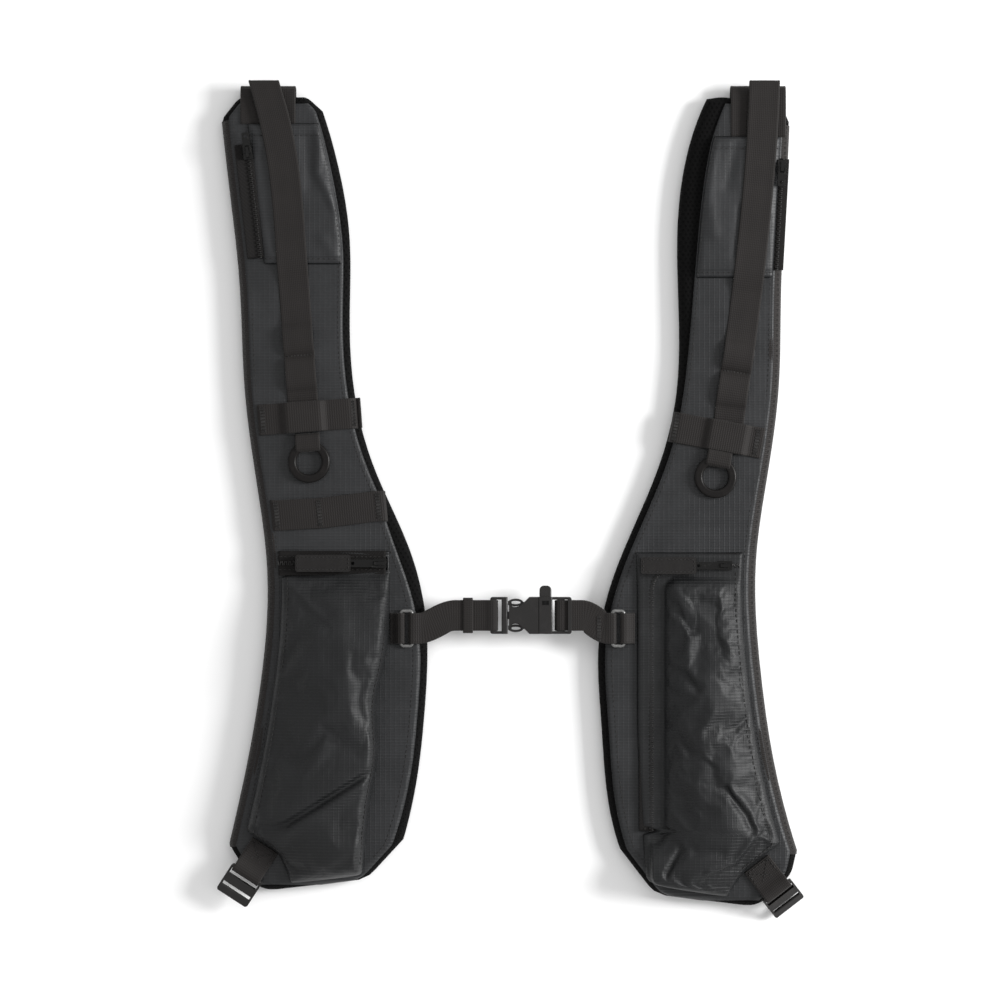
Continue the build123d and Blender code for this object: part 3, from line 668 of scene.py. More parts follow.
def bar_tack(centre, across, along, width, length, rows=9):
    """Lines of a dense zigzag of thread over a rectangle of webbing."""
    lines = []
    for n in range(rows):
        place = (n / (rows - 1) - 0.5) * length
        lean = 0.35 * length / rows * (1 if n % 2 else -1)
        start = np.asarray(centre) + along * (place - lean) - across * width / 2
        end = np.asarray(centre) + along * (place + lean) + across * width / 2
        lines.append([start, end])
    return lines


def tack_down(name, body, tacks, radius=0.3 * MM):
    """Sews bar tacks in thick thread."""
    stitches(name, body, tacks, pitch=1.9 * MM, share=0.95, radius=radius)


# Yoke: wide webbing that leaves the flat pocket's top hem, turns over the shoulder end in a loop and
# goes back behind the pad, where the pack's yoke is threaded through it.
for side in SIDES:
    low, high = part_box(f"{side}_yoke_loop")
    middle = (low[0] + high[0]) / 2
    front, back = high[2] - WEB_THICK / 2, low[2] + WEB_THICK / 2
    reach = high[1] - WEB_THICK / 2
    route = [(middle, low[1] + 4 * MM, front), (middle, reach - 9 * MM, front),
             (middle, reach, front - 1 * MM), (middle, reach + 0.5 * MM, (front + back) / 2),
             (middle, reach, back + 1 * MM), (middle, reach - 9 * MM, back), (middle, low[1], back)]
    route = even_route(rounded_route(route), 1.6 * MM)
    yoke = band(f"{side}_yoke", f"{side}_strap", route, (1, 0, 0), width=high[0] - low[0])
    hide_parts(f"{side}_yoke_loop")

# Daisy chain: webbing folded at the shoulder end, laid down the middle of the strap, sewn into two
# small loops and doubled where it meets the cross band. LOOPS_UP and DAISY_LINE are in mm.
LOOP_RISE = 4.4 * MM
DOUBLED = 17.0 * MM
END_TACK = 13.0 * MM
LOOPS_UP = {"left": (116.8, 94.8, 70.8), "right": (105.4, 83.8, 60.2)}
DAISY_LINE = {
    "left": [(-162, 276.8), (-152.5, 243.8), (-146, 204.8), (-141.5, 137.8), (-135.7, 66.8),
             (-134.9, 42)],
    "right": [(165.5, 276.8), (164.5, 250.8), (162.7, 222.8), (159.5, 185.8), (154.5, 140.8),
              (149.5, 100.8), (142.5, 58.8), (141, 30)],
}
for side in SIDES:
    body = f"{side}_strap"
    low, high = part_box(f"{side}_daisy_webbing")
    stash_low, stash_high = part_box(f"{side}_stash_panel")
    line = even_route(rounded_route(np.array(DAISY_LINE[side]) * MM), 1.0 * MM)
    order = np.argsort(line[:, 1])
    line = line[order]
    foot = low[1]
    on_face = stash_low[2] + WEB_THICK / 2 + 0.3 * MM
    on_pocket = stash_high[2] + WEB_THICK / 2 + 0.2 * MM
    reach = high[1] - WEB_THICK / 2
    upper = high[2] - WEB_THICK / 2
    side_view = [(stash_high[1] + 4 * MM, upper - 2.6 * MM), (reach - 8 * MM, upper - 2.5 * MM),
                 (reach, upper - 2.3 * MM), (reach + 0.2 * MM, upper - 1.2 * MM), (reach, upper),
                 (reach - 8 * MM, upper), (stash_high[1] + 9 * MM, upper),
                 (stash_high[1] - 6 * MM, on_pocket), (stash_low[1] + 8 * MM, on_pocket),
                 (stash_low[1] - 2 * MM, on_pocket - 1.0 * MM), (stash_low[1] - 12 * MM, on_face)]
    loops = [y * MM for y in LOOPS_UP[side]]
    shoulder = on_face + LOOP_RISE * 0.75
    for start, end in zip(loops, loops[1:]):
        side_view += [(start, on_face), (start - 4 * MM, shoulder),
                      ((start + end) / 2, on_face + LOOP_RISE), (end + 4 * MM, shoulder),
                      (end, on_face)]
    side_view.append((foot, on_face))
    profile = even_route(rounded_route(side_view), 0.9 * MM)
    lean = np.gradient(line[:, 0], line[:, 1])
    xs = np.interp(profile[:, 0], line[:, 1], line[:, 0])
    slope = np.interp(profile[:, 0], line[:, 1], lean)
    square = smooth((reach - 4 * MM - profile[:, 0]) / (40 * MM))
    across = np.stack([np.ones_like(slope), -slope * square, 0 * slope], axis=1)
    route = np.column_stack([xs, profile])
    daisy = band(f"{side}_daisy_chain", body, route, across)
    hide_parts(f"{side}_daisy_webbing")
    ys = np.linspace(foot, foot + DOUBLED, 12)
    doubled = [(np.interp(y, line[:, 1], line[:, 0]), y, on_face + WEB_THICK) for y in ys]
    band(f"{side}_daisy_end", body, doubled, across[-1])
    tacks = []
    for y in [*loops, foot + END_TACK]:
        x = np.interp(y, line[:, 1], line[:, 0])
        tilt = np.interp(y, line[:, 1], lean)
        over = np.array([1, -tilt, 0]) / math.hypot(1, tilt)
        down = np.array([tilt, 1, 0]) / math.hypot(1, tilt)
        top = on_face + WEB_THICK * (1.55 if y == foot + END_TACK else 0.55)
        tacks += bar_tack((x, y, top), over, down, TACK, 2.6 * MM)
    tack_down(f"{side}_daisy_tacks", body, tacks)

# Cross bands: webbing sewn flat across each strap to hang tools and hold a hose; the left strap has a
# second one lower down, tacked in its middle.
OVER_DAISY = 2.9 * MM
LOWER_TACK_X = -122.9 * MM
TACKED_AT = {"left_lower_band": [0.05, 0.44, 0.95]}
for name in ("left_cross_band", "right_cross_band", "left_lower_band"):
    side = name.split("_")[0]
    low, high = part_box(name)
    ends = [low[0] + 5 * MM, high[0] - 5 * MM]
    centres = [sum(cut(name, 0, x)) / 2 for x in ends]
    slope = (centres[1] - centres[0]) / (ends[1] - ends[0])
    xs = np.linspace(low[0] - 1 * MM, high[0] + 1 * MM, 44)
    ys = centres[0] + (xs - ends[0]) * slope
    if name == "left_lower_band":
        bent = sum(cut(name, 0, LOWER_TACK_X)) / 2
        ys = np.interp(xs, [ends[0], LOWER_TACK_X, ends[1]], [centres[0], bent, centres[1]])
    lift = FACE_LIFT + FABRIC + WEB_THICK / 2 + 0.1 * MM
    zs = pad_top(side, xs, ys) + lift
    if name != "left_lower_band":
        chain = f"{side}_daisy_webbing"
        chain_x = sum(cut(chain, 1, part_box(chain)[0][1] + 4 * MM)) / 2
        zs += OVER_DAISY * smooth((WEB / 2 + 4.5 * MM - np.abs(xs - chain_x)) / (3.5 * MM))
    across = np.array([-slope, 1, 0])
    route = np.stack([xs, ys, zs], axis=1)
    piece = band(name.replace("_band", "_webbing"), f"{side}_strap", route, across)
    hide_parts(name)
    tacks = []
    over = across / np.linalg.norm(across)
    down = np.array([1, slope, 0]) / math.hypot(1, slope)
    for share in TACKED_AT.get(name, [0.06, 0.94]):
        n = int(share * (len(xs) - 1))
        place = (xs[n], ys[n], zs[n] + WEB_THICK * 0.52)
        tacks += bar_tack(place, over, down, TACK, 2.4 * MM)
    tack_down(f"{name}_tacks", f"{side}_strap", tacks)

# ---------------------------------------------------------------------------------------------
# Gear ring. A moulded ring hangs in a short folded webbing tab whose ends are sewn under the cross
# band; the ring and its tab lift together.


def plastic(start):
    place = own_place(start)
    grain = place.noise(900.0, detail=4.0)
    marks = place.noise(120.0, detail=6.0, rough=0.7).between(0.5, 0.8)
    shade = marks * 0.6 + grain * 0.4
    colour = shade.shades((0.0042, 0.0036, 0.0034), (0.0120, 0.0102, 0.0096))
    return colour, grain * 0.16 + marks * 0.12 + 0.30, grain, 0.00009


plastic_finish = finish_of("moulded_plastic", plastic, Specular_IOR_Level=0.42)
ring_finish = finish_of("matt_plastic", plastic, Specular_IOR_Level=0.16)


SHARPEST_BEND = math.radians(35)


def finish_node(node, finish, edge=0.0):
    """Gives a CAD part its finish and, if asked, softens its moulded edges."""
    part = frame["nodes"][node]
    for place in part.material_slots:
        place.link = "OBJECT"
        place.material = finish
    if edge:
        weld = part.modifiers.new("weld", "WELD")
        weld.merge_threshold = 0.002 * MM
        soft = part.modifiers.new("edge", "BEVEL")
        soft.width = edge
        soft.segments = 3
        soft.limit_method = "ANGLE"
        soft.angle_limit = SHARPEST_BEND
        soft.harden_normals = True


RING_THICK = 5.4 * MM
RING_TAB = 16.0 * MM


def joint(name):
    """A joint of the frame by its name."""
    return next(j for j in frame["joints"] if j["name"] == name)


for side in SIDES:
    finish_node(f"{side}_ring", ring_finish)
    low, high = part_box(f"{side}_ring")
    centre = np.array([(low[k] + high[k]) / 2 for k in range(3)])
    hinge = joint(f"{side}_ring_lift")
    over = np.array(hinge["axis"]) * -1
    down = np.cross(over, (0, 0, 1))
    down *= 1 if down[1] < 0 else -1
    start = np.array(hinge["pos_m"])
    radius = (high[0] - low[0]) / 2
    drop = float((centre - start)[:2] @ down[:2])
    bar = drop - radius + RING_THICK / 2
    half = (high[2] - low[2]) / 2 + WEB_THICK / 2 + 0.2 * MM
    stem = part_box(f"{side}_cross_band")[0][2] + WEB_THICK / 2 + 0.35 * MM
    over_ring, under_ring = centre[2] + half, centre[2] - half
    side_view = [(1.3 * MM, stem + 1.6 * MM), (bar - 6 * MM, over_ring - 0.6 * MM),
                 (bar - 1 * MM, over_ring), (bar + 3.1 * MM, over_ring), (bar + 4.4 * MM, centre[2]),
                 (bar + 3.1 * MM, under_ring), (bar - 4 * MM, stem), (1.3 * MM, stem)]
    profile = even_route(rounded_route(side_view), 0.8 * MM)
    route = np.array([[*(start[:2] + down[:2] * s), z] for s, z in profile])
    tab = band(f"{side}_ring_loop", f"{side}_ring_drop", route, over, width=RING_TAB)
    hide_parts(f"{side}_ring_tab")

# ---------------------------------------------------------------------------------------------
# Bellows pocket. A gusseted pocket of the same ripstop, coloured darker as painted shade, stands 20 mm
# proud of the lower half of each strap. A zip runs across its top, and on the right strap on down its
# inner side.
POCKET_TOP = 20.0 * MM
SHELF = 3.0 * MM
ZIP_TAPE = 16.0 * MM
ZIP_CORNER = 17.0 * MM
PRESSURE = {"left": 1.2, "right": 1.5}
SLACK = {"left": 0.010, "right": 0.024}
SWELL = 4.0 * MM
SIM_FRAMES = 20
CLOTH = {"use_pressure": True, "mass": 0.25, "tension_stiffness": 25, "compression_stiffness": 25,
         "shear_stiffness": 12, "bending_stiffness": 2.0}
POCKET_CLOTH = 0.5 * MM
POCKET_ROWS = 116
POCKET_COLUMNS = 66
SEWN_FLAT = 3.0 * MM
STEEP_RISE = 30.0 * MM
SLOW_RISE = 46.0 * MM
SIDE_ROUND = 34.0 * MM
FOOT_ROUND = 30.0 * MM
INNER_ROUND = 7.0 * MM
POCKET_FOLDS = {
    "left": [([(-93, -177), (-120, -194), (-146, -210), (-176, -214)], 2.2, -3.2),
             ([(-97, -184), (-122, -201), (-146, -216)], 3.6, 1.5),
             ([(-137, -90), (-146, -112), (-151, -134)], 5.0, -2.0),
             ([(-127, -84), (-133, -118)], 6.0, 1.2),
             ([(-110, -60), (-108, -110), (-104, -150)], 6.5, 0.9),
             ([(-160, -60), (-164, -96), (-168, -130)], 4.0, -1.5),
             ([(-120, -150), (-140, -172)], 5.0, -1.2),
             ([(-166, -218), (-150, -232), (-140, -240)], 2.4, -2.0),
             ([(-100, -225), (-125, -236)], 4.5, 1.0)],
    "right": [([(92, -58), (107, -68), (118, -84)], 3.2, -2.0),
              ([(94, -106), (113, -112), (121, -122)], 3.0, -2.4),
              ([(96, -115), (112, -123)], 4.0, 1.3),
              ([(95, -151), (109, -153), (117, -163)], 3.2, -2.3),
              ([(160, -134), (146, -148)], 3.2, -1.9),
              ([(139, -187), (152, -205), (157, -216)], 2.6, -2.2),
              ([(110, -226), (101, -243)], 2.0, -2.2),
              ([(128, -241), (146, -234), (160, -214)], 2.6, 2.0),
              ([(134, -60), (146, -104), (150, -130)], 6.0, 1.3),
              ([(163, -70), (161, -100)], 4.0, -1.5), ([(120, -170), (128, -200)], 6.0, -1.2),
              ([(120, -228), (136, -228)], 3.4, -1.5)],
}


def zip_route(side):
    """Plan route of the bellows pocket's zip, from its outer end."""
    low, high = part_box(f"{side}_pocket_zip")
    top = high[1] - ZIP_TAPE / 2
    if side == "left":
        return np.array([(low[0], top), (high[0], top)])
    inner = low[0] + ZIP_TAPE / 2
    turn = [(inner + ZIP_CORNER * (1 - math.sin(a)), top - ZIP_CORNER * (1 - math.cos(a)))
            for a in np.radians(np.linspace(0, 90, 10))]
    return np.array([(high[0], top), *turn, (inner, low[1])])


def blow_up(piece, held, pressure, slack, limit):
    """Lets the cloth fill and wrinkle between its held points, and keeps the result."""
    before = np.array([tuple(v.co) for v in piece.data.vertices])
    group = piece.vertex_groups.new(name="held")
    group.add([int(n) for n in held], 1.0, "REPLACE")
    cloth = piece.modifiers.new("cloth", "CLOTH")
    settings = cloth.settings
    for setting, value in CLOTH.items():
        setattr(settings, setting, value)
    settings.vertex_group_mass = "held"
    settings.uniform_pressure_force = pressure
    settings.shrink_min = settings.shrink_max = -slack
    settings.effector_weights.gravity = 0
    for number in range(1, SIM_FRAMES + 1):
        bpy.context.scene.frame_set(number)
    seen = piece.evaluated_get(bpy.context.evaluated_depsgraph_get())
    after = np.array([tuple(v.co) for v in seen.data.vertices])
    piece.modifiers.remove(cloth)
    piece.vertex_groups.clear()
    bpy.context.scene.frame_set(1)
    move = after - before
    far = np.linalg.norm(move, axis=1)[:, None]
    kept = before + move * np.minimum(1, limit / np.maximum(far, 1e-9))
    piece.data.vertices.foreach_set("co", kept.astype(np.float32).ravel())
    piece.data.update()


for side in SIDES:
    sign = out_sign(side)
    low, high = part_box(f"{side}_pocket")
    fine = [f * MM for f in (0.0, 0.6, 1.5, 3.0)]
    ys = steps_to_ends(low[1] + 0.3 * MM, high[1] - 0.3 * MM, POCKET_ROWS, fine)
    spans = np.array([sorted(cut(f"{side}_pocket", 1, y), key=lambda x: sign * x) for y in ys])
    share = steps_to_ends(0.0, 1.0, POCKET_COLUMNS, [0.0, 0.006, 0.016, 0.032])
    xs = spans[:, :1] + (spans[:, 1:] - spans[:, :1]) * share
    yy = ys[:, None] + 0 * share
    route = zip_route(side)
    inner_edge = np.stack([spans[:, 0], ys], axis=1)
    outer_edge = np.stack([spans[:, 1], ys], axis=1)
    rim = [*inner_edge, *outer_edge[::-1], inner_edge[0]]
    from_rim = off_line(xs, yy, rim)
    from_outer = off_line(xs, yy, outer_edge[4:])
    from_foot = yy - low[1]
    from_inner = off_line(xs, yy, inner_edge)
    if side == "right":
        from_zip = off_line(xs, yy, route)
    else:
        from_zip = off_line(xs, yy, route + np.array([(-20 * MM, 0), (5 * MM, 0)]))
    front = from_zip - ZIP_TAPE / 2 - 0.6 * MM
    within = yy < route[0][1]
    if side == "right":
        within &= xs > route[-1][0]
    front = np.where(within, front, 0.0)
    rise = dome(front / STEEP_RISE) * 0.55 + smooth(front / SLOW_RISE) * 0.45
    edges = dome(from_outer / SIDE_ROUND) * 0.75 + smooth(from_outer / (40 * MM)) * 0.25
    edges *= dome(from_foot / FOOT_ROUND)
    if side == "left":
        edges *= dome(from_inner / INNER_ROUND)
    bulge = (POCKET_TOP - SHELF) * rise * edges
    folds = creases(xs, yy, POCKET_FOLDS[side])
    folds *= smooth(front / (14 * MM)) * smooth(from_rim / INNER_ROUND)
    shelf = SHELF * dome(from_rim / (2.4 * MM)) * dome(from_foot / (6 * MM))
    lift = FACE_LIFT + FABRIC + 0.2 * MM + shelf + bulge + folds
    grid = np.stack([xs, yy, pad_top(side, xs, yy) + lift], axis=-1)
    points = grid.reshape(-1, 3)
    # The pocket wears the darker ripstop, whose colours are painted shade.
    pocket = new_piece(f"{side}_bellows_pocket", points, grid_faces(*grid.shape[:2]), points,
                       shaded_pocket_finish, f"{side}_strap")
    free = (front > SEWN_FLAT) & (from_rim > SEWN_FLAT)
    blow_up(pocket, np.flatnonzero(~free.ravel()), PRESSURE[side], SLACK[side], SWELL)
    thicken(pocket, POCKET_CLOTH, -1.0)
    smoother = pocket.modifiers.new("rounder", "SUBSURF")
    smoother.levels = 1
    smoother.render_levels = 1
    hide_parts(f"{side}_pocket")
    lift_up = np.array([0, 0, 0.12 * MM])
    seam_lines = [grid[8:-8, -6] + lift_up]
    if side == "left":
        seam_lines.append(grid[8:-26, 3] + lift_up)
    stitches(f"{side}_pocket_seam", f"{side}_strap", seam_lines, pitch=3.4 * MM)

# Pocket zips: a 16 mm tape with a coil of nylon teeth sewn along its middle. The tapes are sewn to the
# pocket's shelf, and to the flat pocket's edge, with one row of thread on each side.
TOOTH = 3.0 * MM
ZIP_SHIFT = {"left": 2.6 * MM, "right": 0.6 * MM}
ZIP_SHOWS = {"left": 11.5 * MM, "right": 8.0 * MM}
TOOTH_PITCH = 1.35 * MM
TAPE_SEAM = 4.2 * MM


def zip_tape(start):
    place = laid_cloth(start)
    rib = (place.axis(0) + place.axis(1) * 0.5).wave(0.9 * MM)
    fibres = place.noise(1500.0)
    colour = (rib * 0.5 + fibres * 0.5).shades((0.0022, 0.0019, 0.0018), (0.0078, 0.0065, 0.0060))
    return colour, fibres * 0.15 + 0.6, rib, 0.0002


zip_finish = finish_of("zip_tape", zip_tape, Specular_IOR_Level=0.2)


def coil(name, body, route, size=TOOTH):
    """The coil of a zip: rounded teeth that cross the middle of its tape, leaning alternate ways."""
    points, faces = [], []
    way = np.gradient(route, axis=0)
    way /= np.linalg.norm(way, axis=1)[:, None]
    ring = np.radians(np.arange(0, 360, 360 / TUBE_SIDES))
    cross_tooth = ((-0.5, 0.35), (-0.38, 1.0), (0.0, 0.82), (0.38, 1.0), (0.5, 0.35))
    for n, (here, ahead) in enumerate(zip(route, way)):
        over = np.array([-ahead[1], ahead[0], 0.0])
        lean = ahead * 0.22 * MM * (1 if n % 2 else -1)
        base = len(points)
        for place, thin in cross_tooth:
            centre = here + over * place * size + lean * np.sign(place)
            for a in ring:
                out = ahead * math.cos(a) * 0.46 + np.array([0, 0, 0.62]) * math.sin(a)
                points.append(centre + out * thin * MM)
        faces += tube_faces(base, len(cross_tooth))
    return new_piece(name, points, faces, points, plastic_finish, body)


def plan_across(route):
    """The way a tape's width points, level and square to its route."""
    way = np.gradient(route, axis=0)
    return np.stack([-way[:, 1], way[:, 0], 0 * way[:, 0]], axis=1)


for side in SIDES:
    sign = out_sign(side)
    body = f"{side}_strap"
    low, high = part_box(f"{side}_pocket_zip")
    flat_route = even_route(zip_route(side), 1.5 * MM)
    tape_z = low[2] + 0.45 * MM
    route = np.column_stack([flat_route, np.full(len(flat_route), tape_z)])
    across = plan_across(route)
    tape = band(f"{side}_pocket_zip_tape", body, route, across, width=ZIP_TAPE, thick=0.7 * MM,
                finish=zip_finish)
    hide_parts(f"{side}_pocket_zip")
    teeth = even_route(route, TOOTH_PITCH)
    coil(f"{side}_pocket_zip_coil", body, teeth + np.array([0, 0, 0.75 * MM]))
    sideways = across / np.linalg.norm(across, axis=1)[:, None]
    seams = [route + sideways * w + np.array([0, 0, 0.4 * MM]) for w in (-TAPE_SEAM, TAPE_SEAM)]
    stitches(f"{side}_pocket_zip_seams", body, seams, pitch=2.9 * MM, radius=0.22 * MM)

    ys, zip_x = stash_zips[side]
    zip_low, zip_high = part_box(f"{side}_stash_zip")
    keep = (ys > zip_low[1]) & (ys < zip_high[1])
    seat = zip_high[2] - 1.2 * MM
    ends = np.array([(zip_x[keep][0], zip_low[1], seat), (zip_x[keep][-1], zip_high[1], seat)])
    route = even_route(ends, 1.5 * MM)
    over = plan_across(route)
    beside = np.array([sign * ZIP_SHIFT[side], 0, -0.35 * MM])
    tape = band(f"{side}_flat_pocket_zip_tape", body, route + beside, over, width=ZIP_SHOWS[side],
                thick=0.6 * MM, finish=zip_finish)
    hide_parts(f"{side}_stash_zip")
    teeth = even_route(route, TOOTH_PITCH)
    coil(f"{side}_flat_pocket_zip_coil", body, teeth + np.array([0, 0, 0.45 * MM]), size=2.6 * MM)

# Sliders and pulls: die-cast sliders in black, each with a flat puller; the bellows pocket's puller
# carries a folded tab of the ripstop, sewn round its edge.


def die_cast(start):
    place = own_place(start)
    grain = place.noise(1400.0, detail=4.0)
    worn = place.noise(260.0, detail=6.0, rough=0.75).between(0.56, 0.74)
    colour = worn.shades((0.0050, 0.0048, 0.0046), (0.0400, 0.0390, 0.0370))
    return colour, grain * 0.15 + 0.26, grain, 0.00006


cast_finish = finish_of("black_die_cast", die_cast, Metallic=0.55)


def pull_cloth(start):
    place = own_place(start)
    x, y = place.axis(0), place.axis(1)
    weave = x.wave(0.7 * MM) * y.wave(0.7 * MM)
    fibres = place.noise(1600.0)
    colour = (weave * 0.5 + fibres * 0.5).shades((0.0036, 0.0030, 0.0028), (0.0130, 0.0110, 0.0102))
    return colour, fibres * 0.15 + 0.52, weave, 0.00025


pull_finish = finish_of("pull_tab_cloth", pull_cloth, Specular_IOR_Level=0.25)
PULL_SEAM = 1.5 * MM

for side in SIDES:
    for node in ("zip_slider", "zip_puller", "stash_slider", "stash_puller"):
        finish_node(f"{side}_{node}", cast_finish, edge=0.22 * MM)
    finish_node(f"{side}_zip_tab", pull_finish, edge=0.7 * MM)
    low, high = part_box(f"{side}_zip_tab")
    x0, x1 = low[0] + PULL_SEAM, high[0] - PULL_SEAM
    y0, y1 = low[1] + PULL_SEAM, high[1] - PULL_SEAM
    top = high[2] + 0.02 * MM
    box_stitch = [[(x0, y, top), (x1, y, top)] for y in (y0, y1)]
    box_stitch += [[(x, y0, top), (x, y1, top)] for x in (x0, x1)]
    stitches(f"{side}_zip_tab_seam", f"{side}_zip_puller", box_stitch, pitch=2.4 * MM, radius=0.22 * MM)

# ---------------------------------------------------------------------------------------------
# Sternum strap. A wire loop in a sewn tab on each pad carries webbing that runs to a side-release
# buckle; an elastic keeper holds the left webbing's layers together.


def grey_wire(start):
    place = own_place(start)
    grain = place.noise(1500.0, detail=4.0)
    marks = place.noise(300.0, detail=5.0).between(0.45, 0.75)
    colour = (grain * 0.4 + marks * 0.6).shades((0.12, 0.12, 0.118), (0.26, 0.26, 0.255))
    return colour, grain * 0.12 + 0.30, grain, 0.00005


wire_finish = finish_of("grey_metal", grey_wire, Metallic=0.6)
for side in SIDES:
    finish_node(f"{side}_sternum_loop", wire_finish)
    sign = out_sign(side)
    body = f"{side}_strap"
    low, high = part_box(f"{side}_sternum_loop")
    middle = (low[1] + high[1]) / 2
    wire = (high[2] - low[2]) / 2
    wire_z = (high[2] + low[2]) / 2
    bar = max(sign * low[0], sign * high[0]) - wire
    tab_low, tab_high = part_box(f"{side}_sternum_tab")
    end = max(sign * tab_low[0], sign * tab_high[0])
    half = wire + WEB_THICK / 2 + 0.15 * MM
    seat = tab_low[2] + WEB_THICK / 2 + 0.25 * MM
    side_view = [(end, seat + WEB_THICK * 1.02), (bar + 4.5 * MM, seat + WEB_THICK * 1.3),
                 (bar + half * 0.7, wire_z + half), (bar - half * 0.8, wire_z + half),
                 (bar - half, wire_z), (bar - half * 0.8, wire_z - half * 0.98),
                 (bar + half, wire_z - half), (end, seat)]
    profile = even_route(rounded_route(side_view), 0.7 * MM)
    route = np.array([(sign * s, middle, z) for s, z in profile])
    tab = band(f"{side}_sternum_tab_webbing", body, route, (0, 1, 0))
    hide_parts(f"{side}_sternum_tab")

low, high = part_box("left_sternum_loop")
wire = (high[2] - low[2]) / 2
wire_z = (high[2] + low[2]) / 2
left_bar = high[0] - wire
loop_y = (low[1] + high[1]) / 2
low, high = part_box("right_sternum_loop")
right_bar = low[0] + wire
keeper_low, keeper_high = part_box("keeper")
buckle_y = (keeper_low[1] + keeper_high[1]) / 2
male_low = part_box("buckle_male")[0]
female_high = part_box("buckle_female")[1]
web_half = WEB_THICK / 2 + 0.08 * MM


def sternum_band(name, body, first_bar, last_bar, first_y, last_y, last_round, bend_from, bend_to):
    """Webbing run round two bars, double between them, that eases from one y to another."""
    first_round = wire + WEB_THICK / 2 + 0.15 * MM
    way = 1 if last_bar > first_bar else -1
    upper = [(first_bar - way * first_round, 0), (first_bar - way * first_round * 0.8, first_round),
             (first_bar + way * first_round, first_round), (first_bar + way * 7 * MM, web_half),
             (last_bar - way * 6 * MM, web_half), (last_bar - way * last_round[1], last_round[0]),
             (last_bar + way * last_round[1] * 0.8, last_round[0]),
             (last_bar + way * (last_round[1] + 0.2 * MM), 0)]
    lower = [(x, -z) for x, z in upper[-2:0:-1]]
    profile = even_route(rounded_route(upper + lower, closed=True), 0.9 * MM, closed=True)
    share = smooth((profile[:, 0] - bend_from) / (bend_to - bend_from))
    ys = first_y + (last_y - first_y) * share
    tilt = 6 * share * (1 - share) * (last_y - first_y) / (bend_to - bend_from) * 0.8
    route = np.column_stack([profile[:, 0], ys, wire_z + profile[:, 1]])
    across = np.stack([-tilt, np.ones_like(tilt), 0 * tilt], axis=1)
    return band(name, body, route, across, closed=True, thick=WEB_THICK * 0.96)


male_bar = male_low[0] + 2.15 * MM
left_web = sternum_band("left_sternum_strap", "sternum_left", left_bar, male_bar, loop_y, buckle_y,
                        (2.45 * MM, 2.3 * MM), left_bar + 4 * MM, left_bar + 28 * MM)
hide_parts("sternum_webbing_left")
female_bar = female_high[0] - 7.0 * MM
right_web = sternum_band("right_sternum_strap", "sternum_right", right_bar, female_bar, loop_y,
                         buckle_y, (2.6 * MM, 3.4 * MM), right_bar - 3 * MM, right_bar - 20 * MM)
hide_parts("sternum_webbing_right")
ELASTIC = 6.4 * MM
keeper_centre = (keeper_low[0] + keeper_high[0]) / 2
keeper_half = (keeper_high[1] - keeper_low[1]) / 2 - 0.5 * MM
keeper_rise = (keeper_high[2] - keeper_low[2]) / 2 - 0.5 * MM
corners = [(-keeper_half, -keeper_rise), (-keeper_half, keeper_rise),
           (keeper_half, keeper_rise), (keeper_half, -keeper_rise)]
corners = [(buckle_y + y, wire_z + z) for y, z in corners for _ in range(2)]
ring_route = even_route(rounded_route(corners, closed=True), 0.9 * MM, closed=True)
route = np.column_stack([np.full(len(ring_route), keeper_centre), ring_route])
elastic = band("elastic_keeper", "sternum_left", route, (1, 0, 0), width=ELASTIC, thick=0.9 * MM,
               closed=True)
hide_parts("keeper")
tack_place = (right_bar - 9 * MM, loop_y, wire_z + WEB_THICK * 1.12)
over, down = np.array([0, 1, 0]), np.array([1, 0, 0])
tacks = bar_tack(tack_place, over, down, TACK, 2 * MM, rows=7)
tack_down("sternum_tacks", "sternum_right", tacks, radius=0.28 * MM)
BUCKLE_EDGES = {"buckle_male": 0.35, "buckle_arm_upper": 0.4, "buckle_arm_lower": 0.4,
                "buckle_female": 0.5, "whistle": 0.45}
for node, edge in BUCKLE_EDGES.items():
    finish_node(node, plastic_finish, edge=edge * MM)

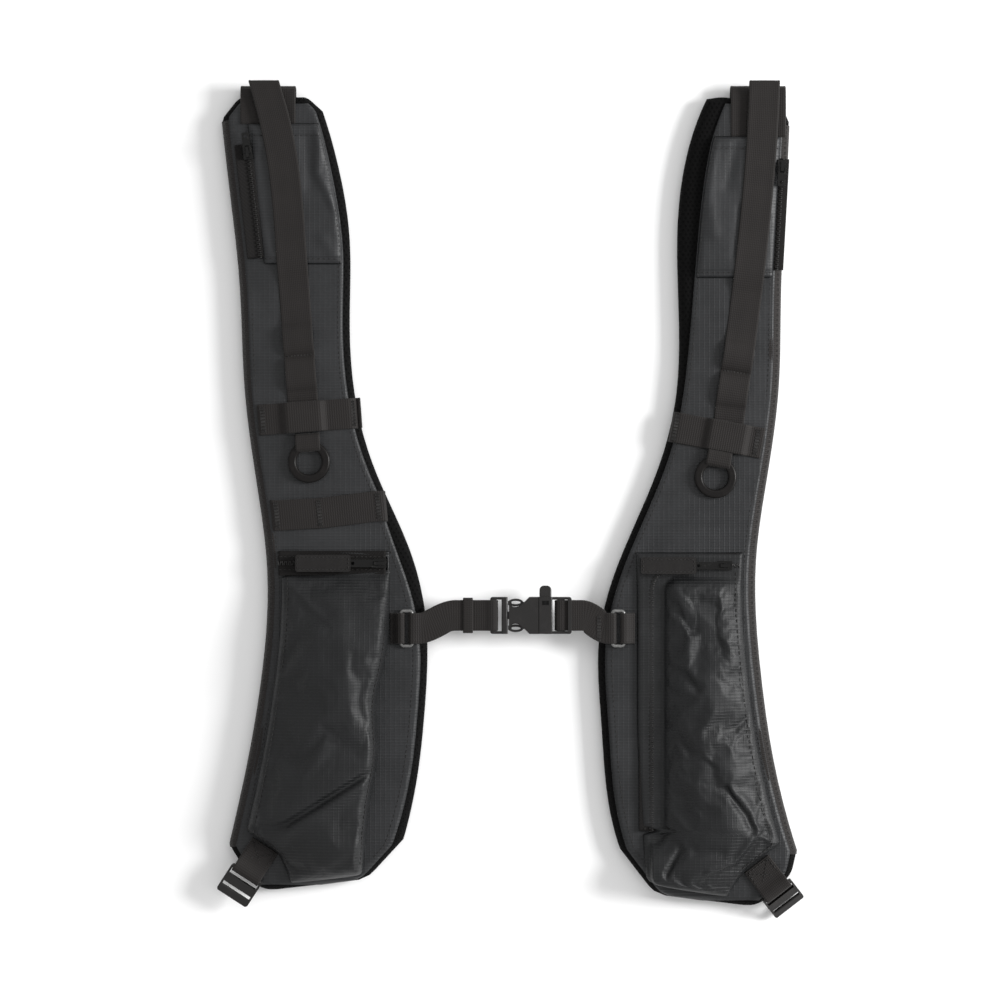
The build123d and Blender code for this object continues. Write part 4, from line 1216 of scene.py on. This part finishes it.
# ---------------------------------------------------------------------------------------------
# Ladder locks. A moulded lock at the foot of each strap swings on webbing folded round its bar and
# box-sewn to the pad, and takes the pack's lower webbing.
LOCK_TAB = 22.0 * MM
LOCK_BAR = 1.6 * MM
for side in SIDES:
    finish_node(f"{side}_ladder_lock", plastic_finish, edge=0.5 * MM)
    hinge = joint(f"{side}_lock_swing")
    bar = np.array(hinge["pos_m"])
    over = np.array(hinge["axis"])
    up_strap = np.cross((0, 0, 1), over)
    tab_low, tab_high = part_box(f"{side}_ladder_tab")
    middle = np.array([(tab_low[k] + tab_high[k]) / 2 for k in range(2)])
    up_strap *= 1 if (middle - bar[:2]) @ up_strap[:2] > 0 else -1
    half = LOCK_BAR + WEB_THICK / 2 + 0.25 * MM
    seat = tab_low[2] + WEB_THICK / 2 + 0.1 * MM - bar[2]
    side_view = [(LOCK_TAB, seat + WEB_THICK * 1.02), (9 * MM, seat + WEB_THICK * 1.2),
                 (half * 0.8, half), (-half * 0.8, half), (-half, 0), (-half * 0.8, -half * 0.9),
                 (4.5 * MM, seat), (LOCK_TAB, seat)]
    profile = even_route(rounded_route(side_view), 0.7 * MM)
    route = np.array([bar + up_strap * s + np.array([0, 0, z]) for s, z in profile])
    tab = band(f"{side}_lock_webbing", f"{side}_strap", route, over)
    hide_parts(f"{side}_ladder_tab")
    near, far_end, edge = 6.5 * MM, LOCK_TAB - 1.5 * MM, WEB / 2 - 1.8 * MM
    top = np.array([0, 0, seat + WEB_THICK * 1.75])
    ends = ((near, -edge), (near, edge), (far_end, edge), (far_end, -edge))
    corner = [bar + up_strap * s + over * w + top for s, w in ends]
    lines = [[corner[a], corner[b]] for a, b in ((0, 1), (1, 2), (2, 3), (3, 0), (0, 2), (1, 3))]
    stitches(f"{side}_lock_box_stitch", f"{side}_strap", lines, pitch=2.6 * MM)

# ---------------------------------------------------------------------------------------------
# Table, light and camera: a white sweep seen from straight above, lit softly from the right.
floor_finish = bpy.data.materials.new("white_sweep")
floor_finish.use_nodes = True
floor_shader = floor_finish.node_tree.nodes["Principled BSDF"]
floor_shader.inputs["Base Color"].default_value = (0.93, 0.93, 0.93, 1.0)
floor_shader.inputs["Roughness"].default_value = 0.9
floor_shader.inputs["Specular IOR Level"].default_value = 0.1
sweep = bpy.data.meshes.new("sweep")
SWEEP = 3.0
floor_corners = [(-SWEEP, -SWEEP, 0), (SWEEP, -SWEEP, 0), (SWEEP, SWEEP, 0), (-SWEEP, SWEEP, 0)]
sweep.from_pydata(floor_corners, [], [(0, 1, 2, 3)])
sweep.materials.append(floor_finish)
table = bpy.data.objects.new("sweep", sweep)
bpy.context.collection.objects.link(table)

world = bpy.data.worlds.new("soft_room")
world.use_nodes = True
world.node_tree.nodes["Background"].inputs["Color"].default_value = (1.0, 1.0, 1.0, 1.0)
world.node_tree.nodes["Background"].inputs["Strength"].default_value = 0.72
bpy.context.scene.world = world
bpy.context.scene.view_settings.view_transform = "Standard"


def softbox(name, place, size, watts):
    """A square soft light that faces the middle of the table."""
    lamp = bpy.data.lights.new(name, "AREA")
    lamp.shape = "SQUARE"
    lamp.size = size
    lamp.energy = watts
    holder = bpy.data.objects.new(name, lamp)
    holder.location = place
    holder.rotation_euler = (-Vector(place)).to_track_quat("-Z", "Y").to_euler()
    bpy.context.collection.objects.link(holder)


softbox("key", (2.1, 0.3, 1.15), 0.8, 78.0)
softbox("top", (0.5, 1.2, 2.2), 1.2, 5.0)

lens = bpy.data.cameras.new("camera")
camera = bpy.data.objects.new("camera", lens)
camera.location = (-7.1 * MM, 0.5 * MM, 2.5)
VIEW_WIDTH = 0.656
lens.angle = 2 * math.atan(VIEW_WIDTH / 2 / camera.location[2])
bpy.context.collection.objects.link(camera)
bpy.context.scene.camera = camera
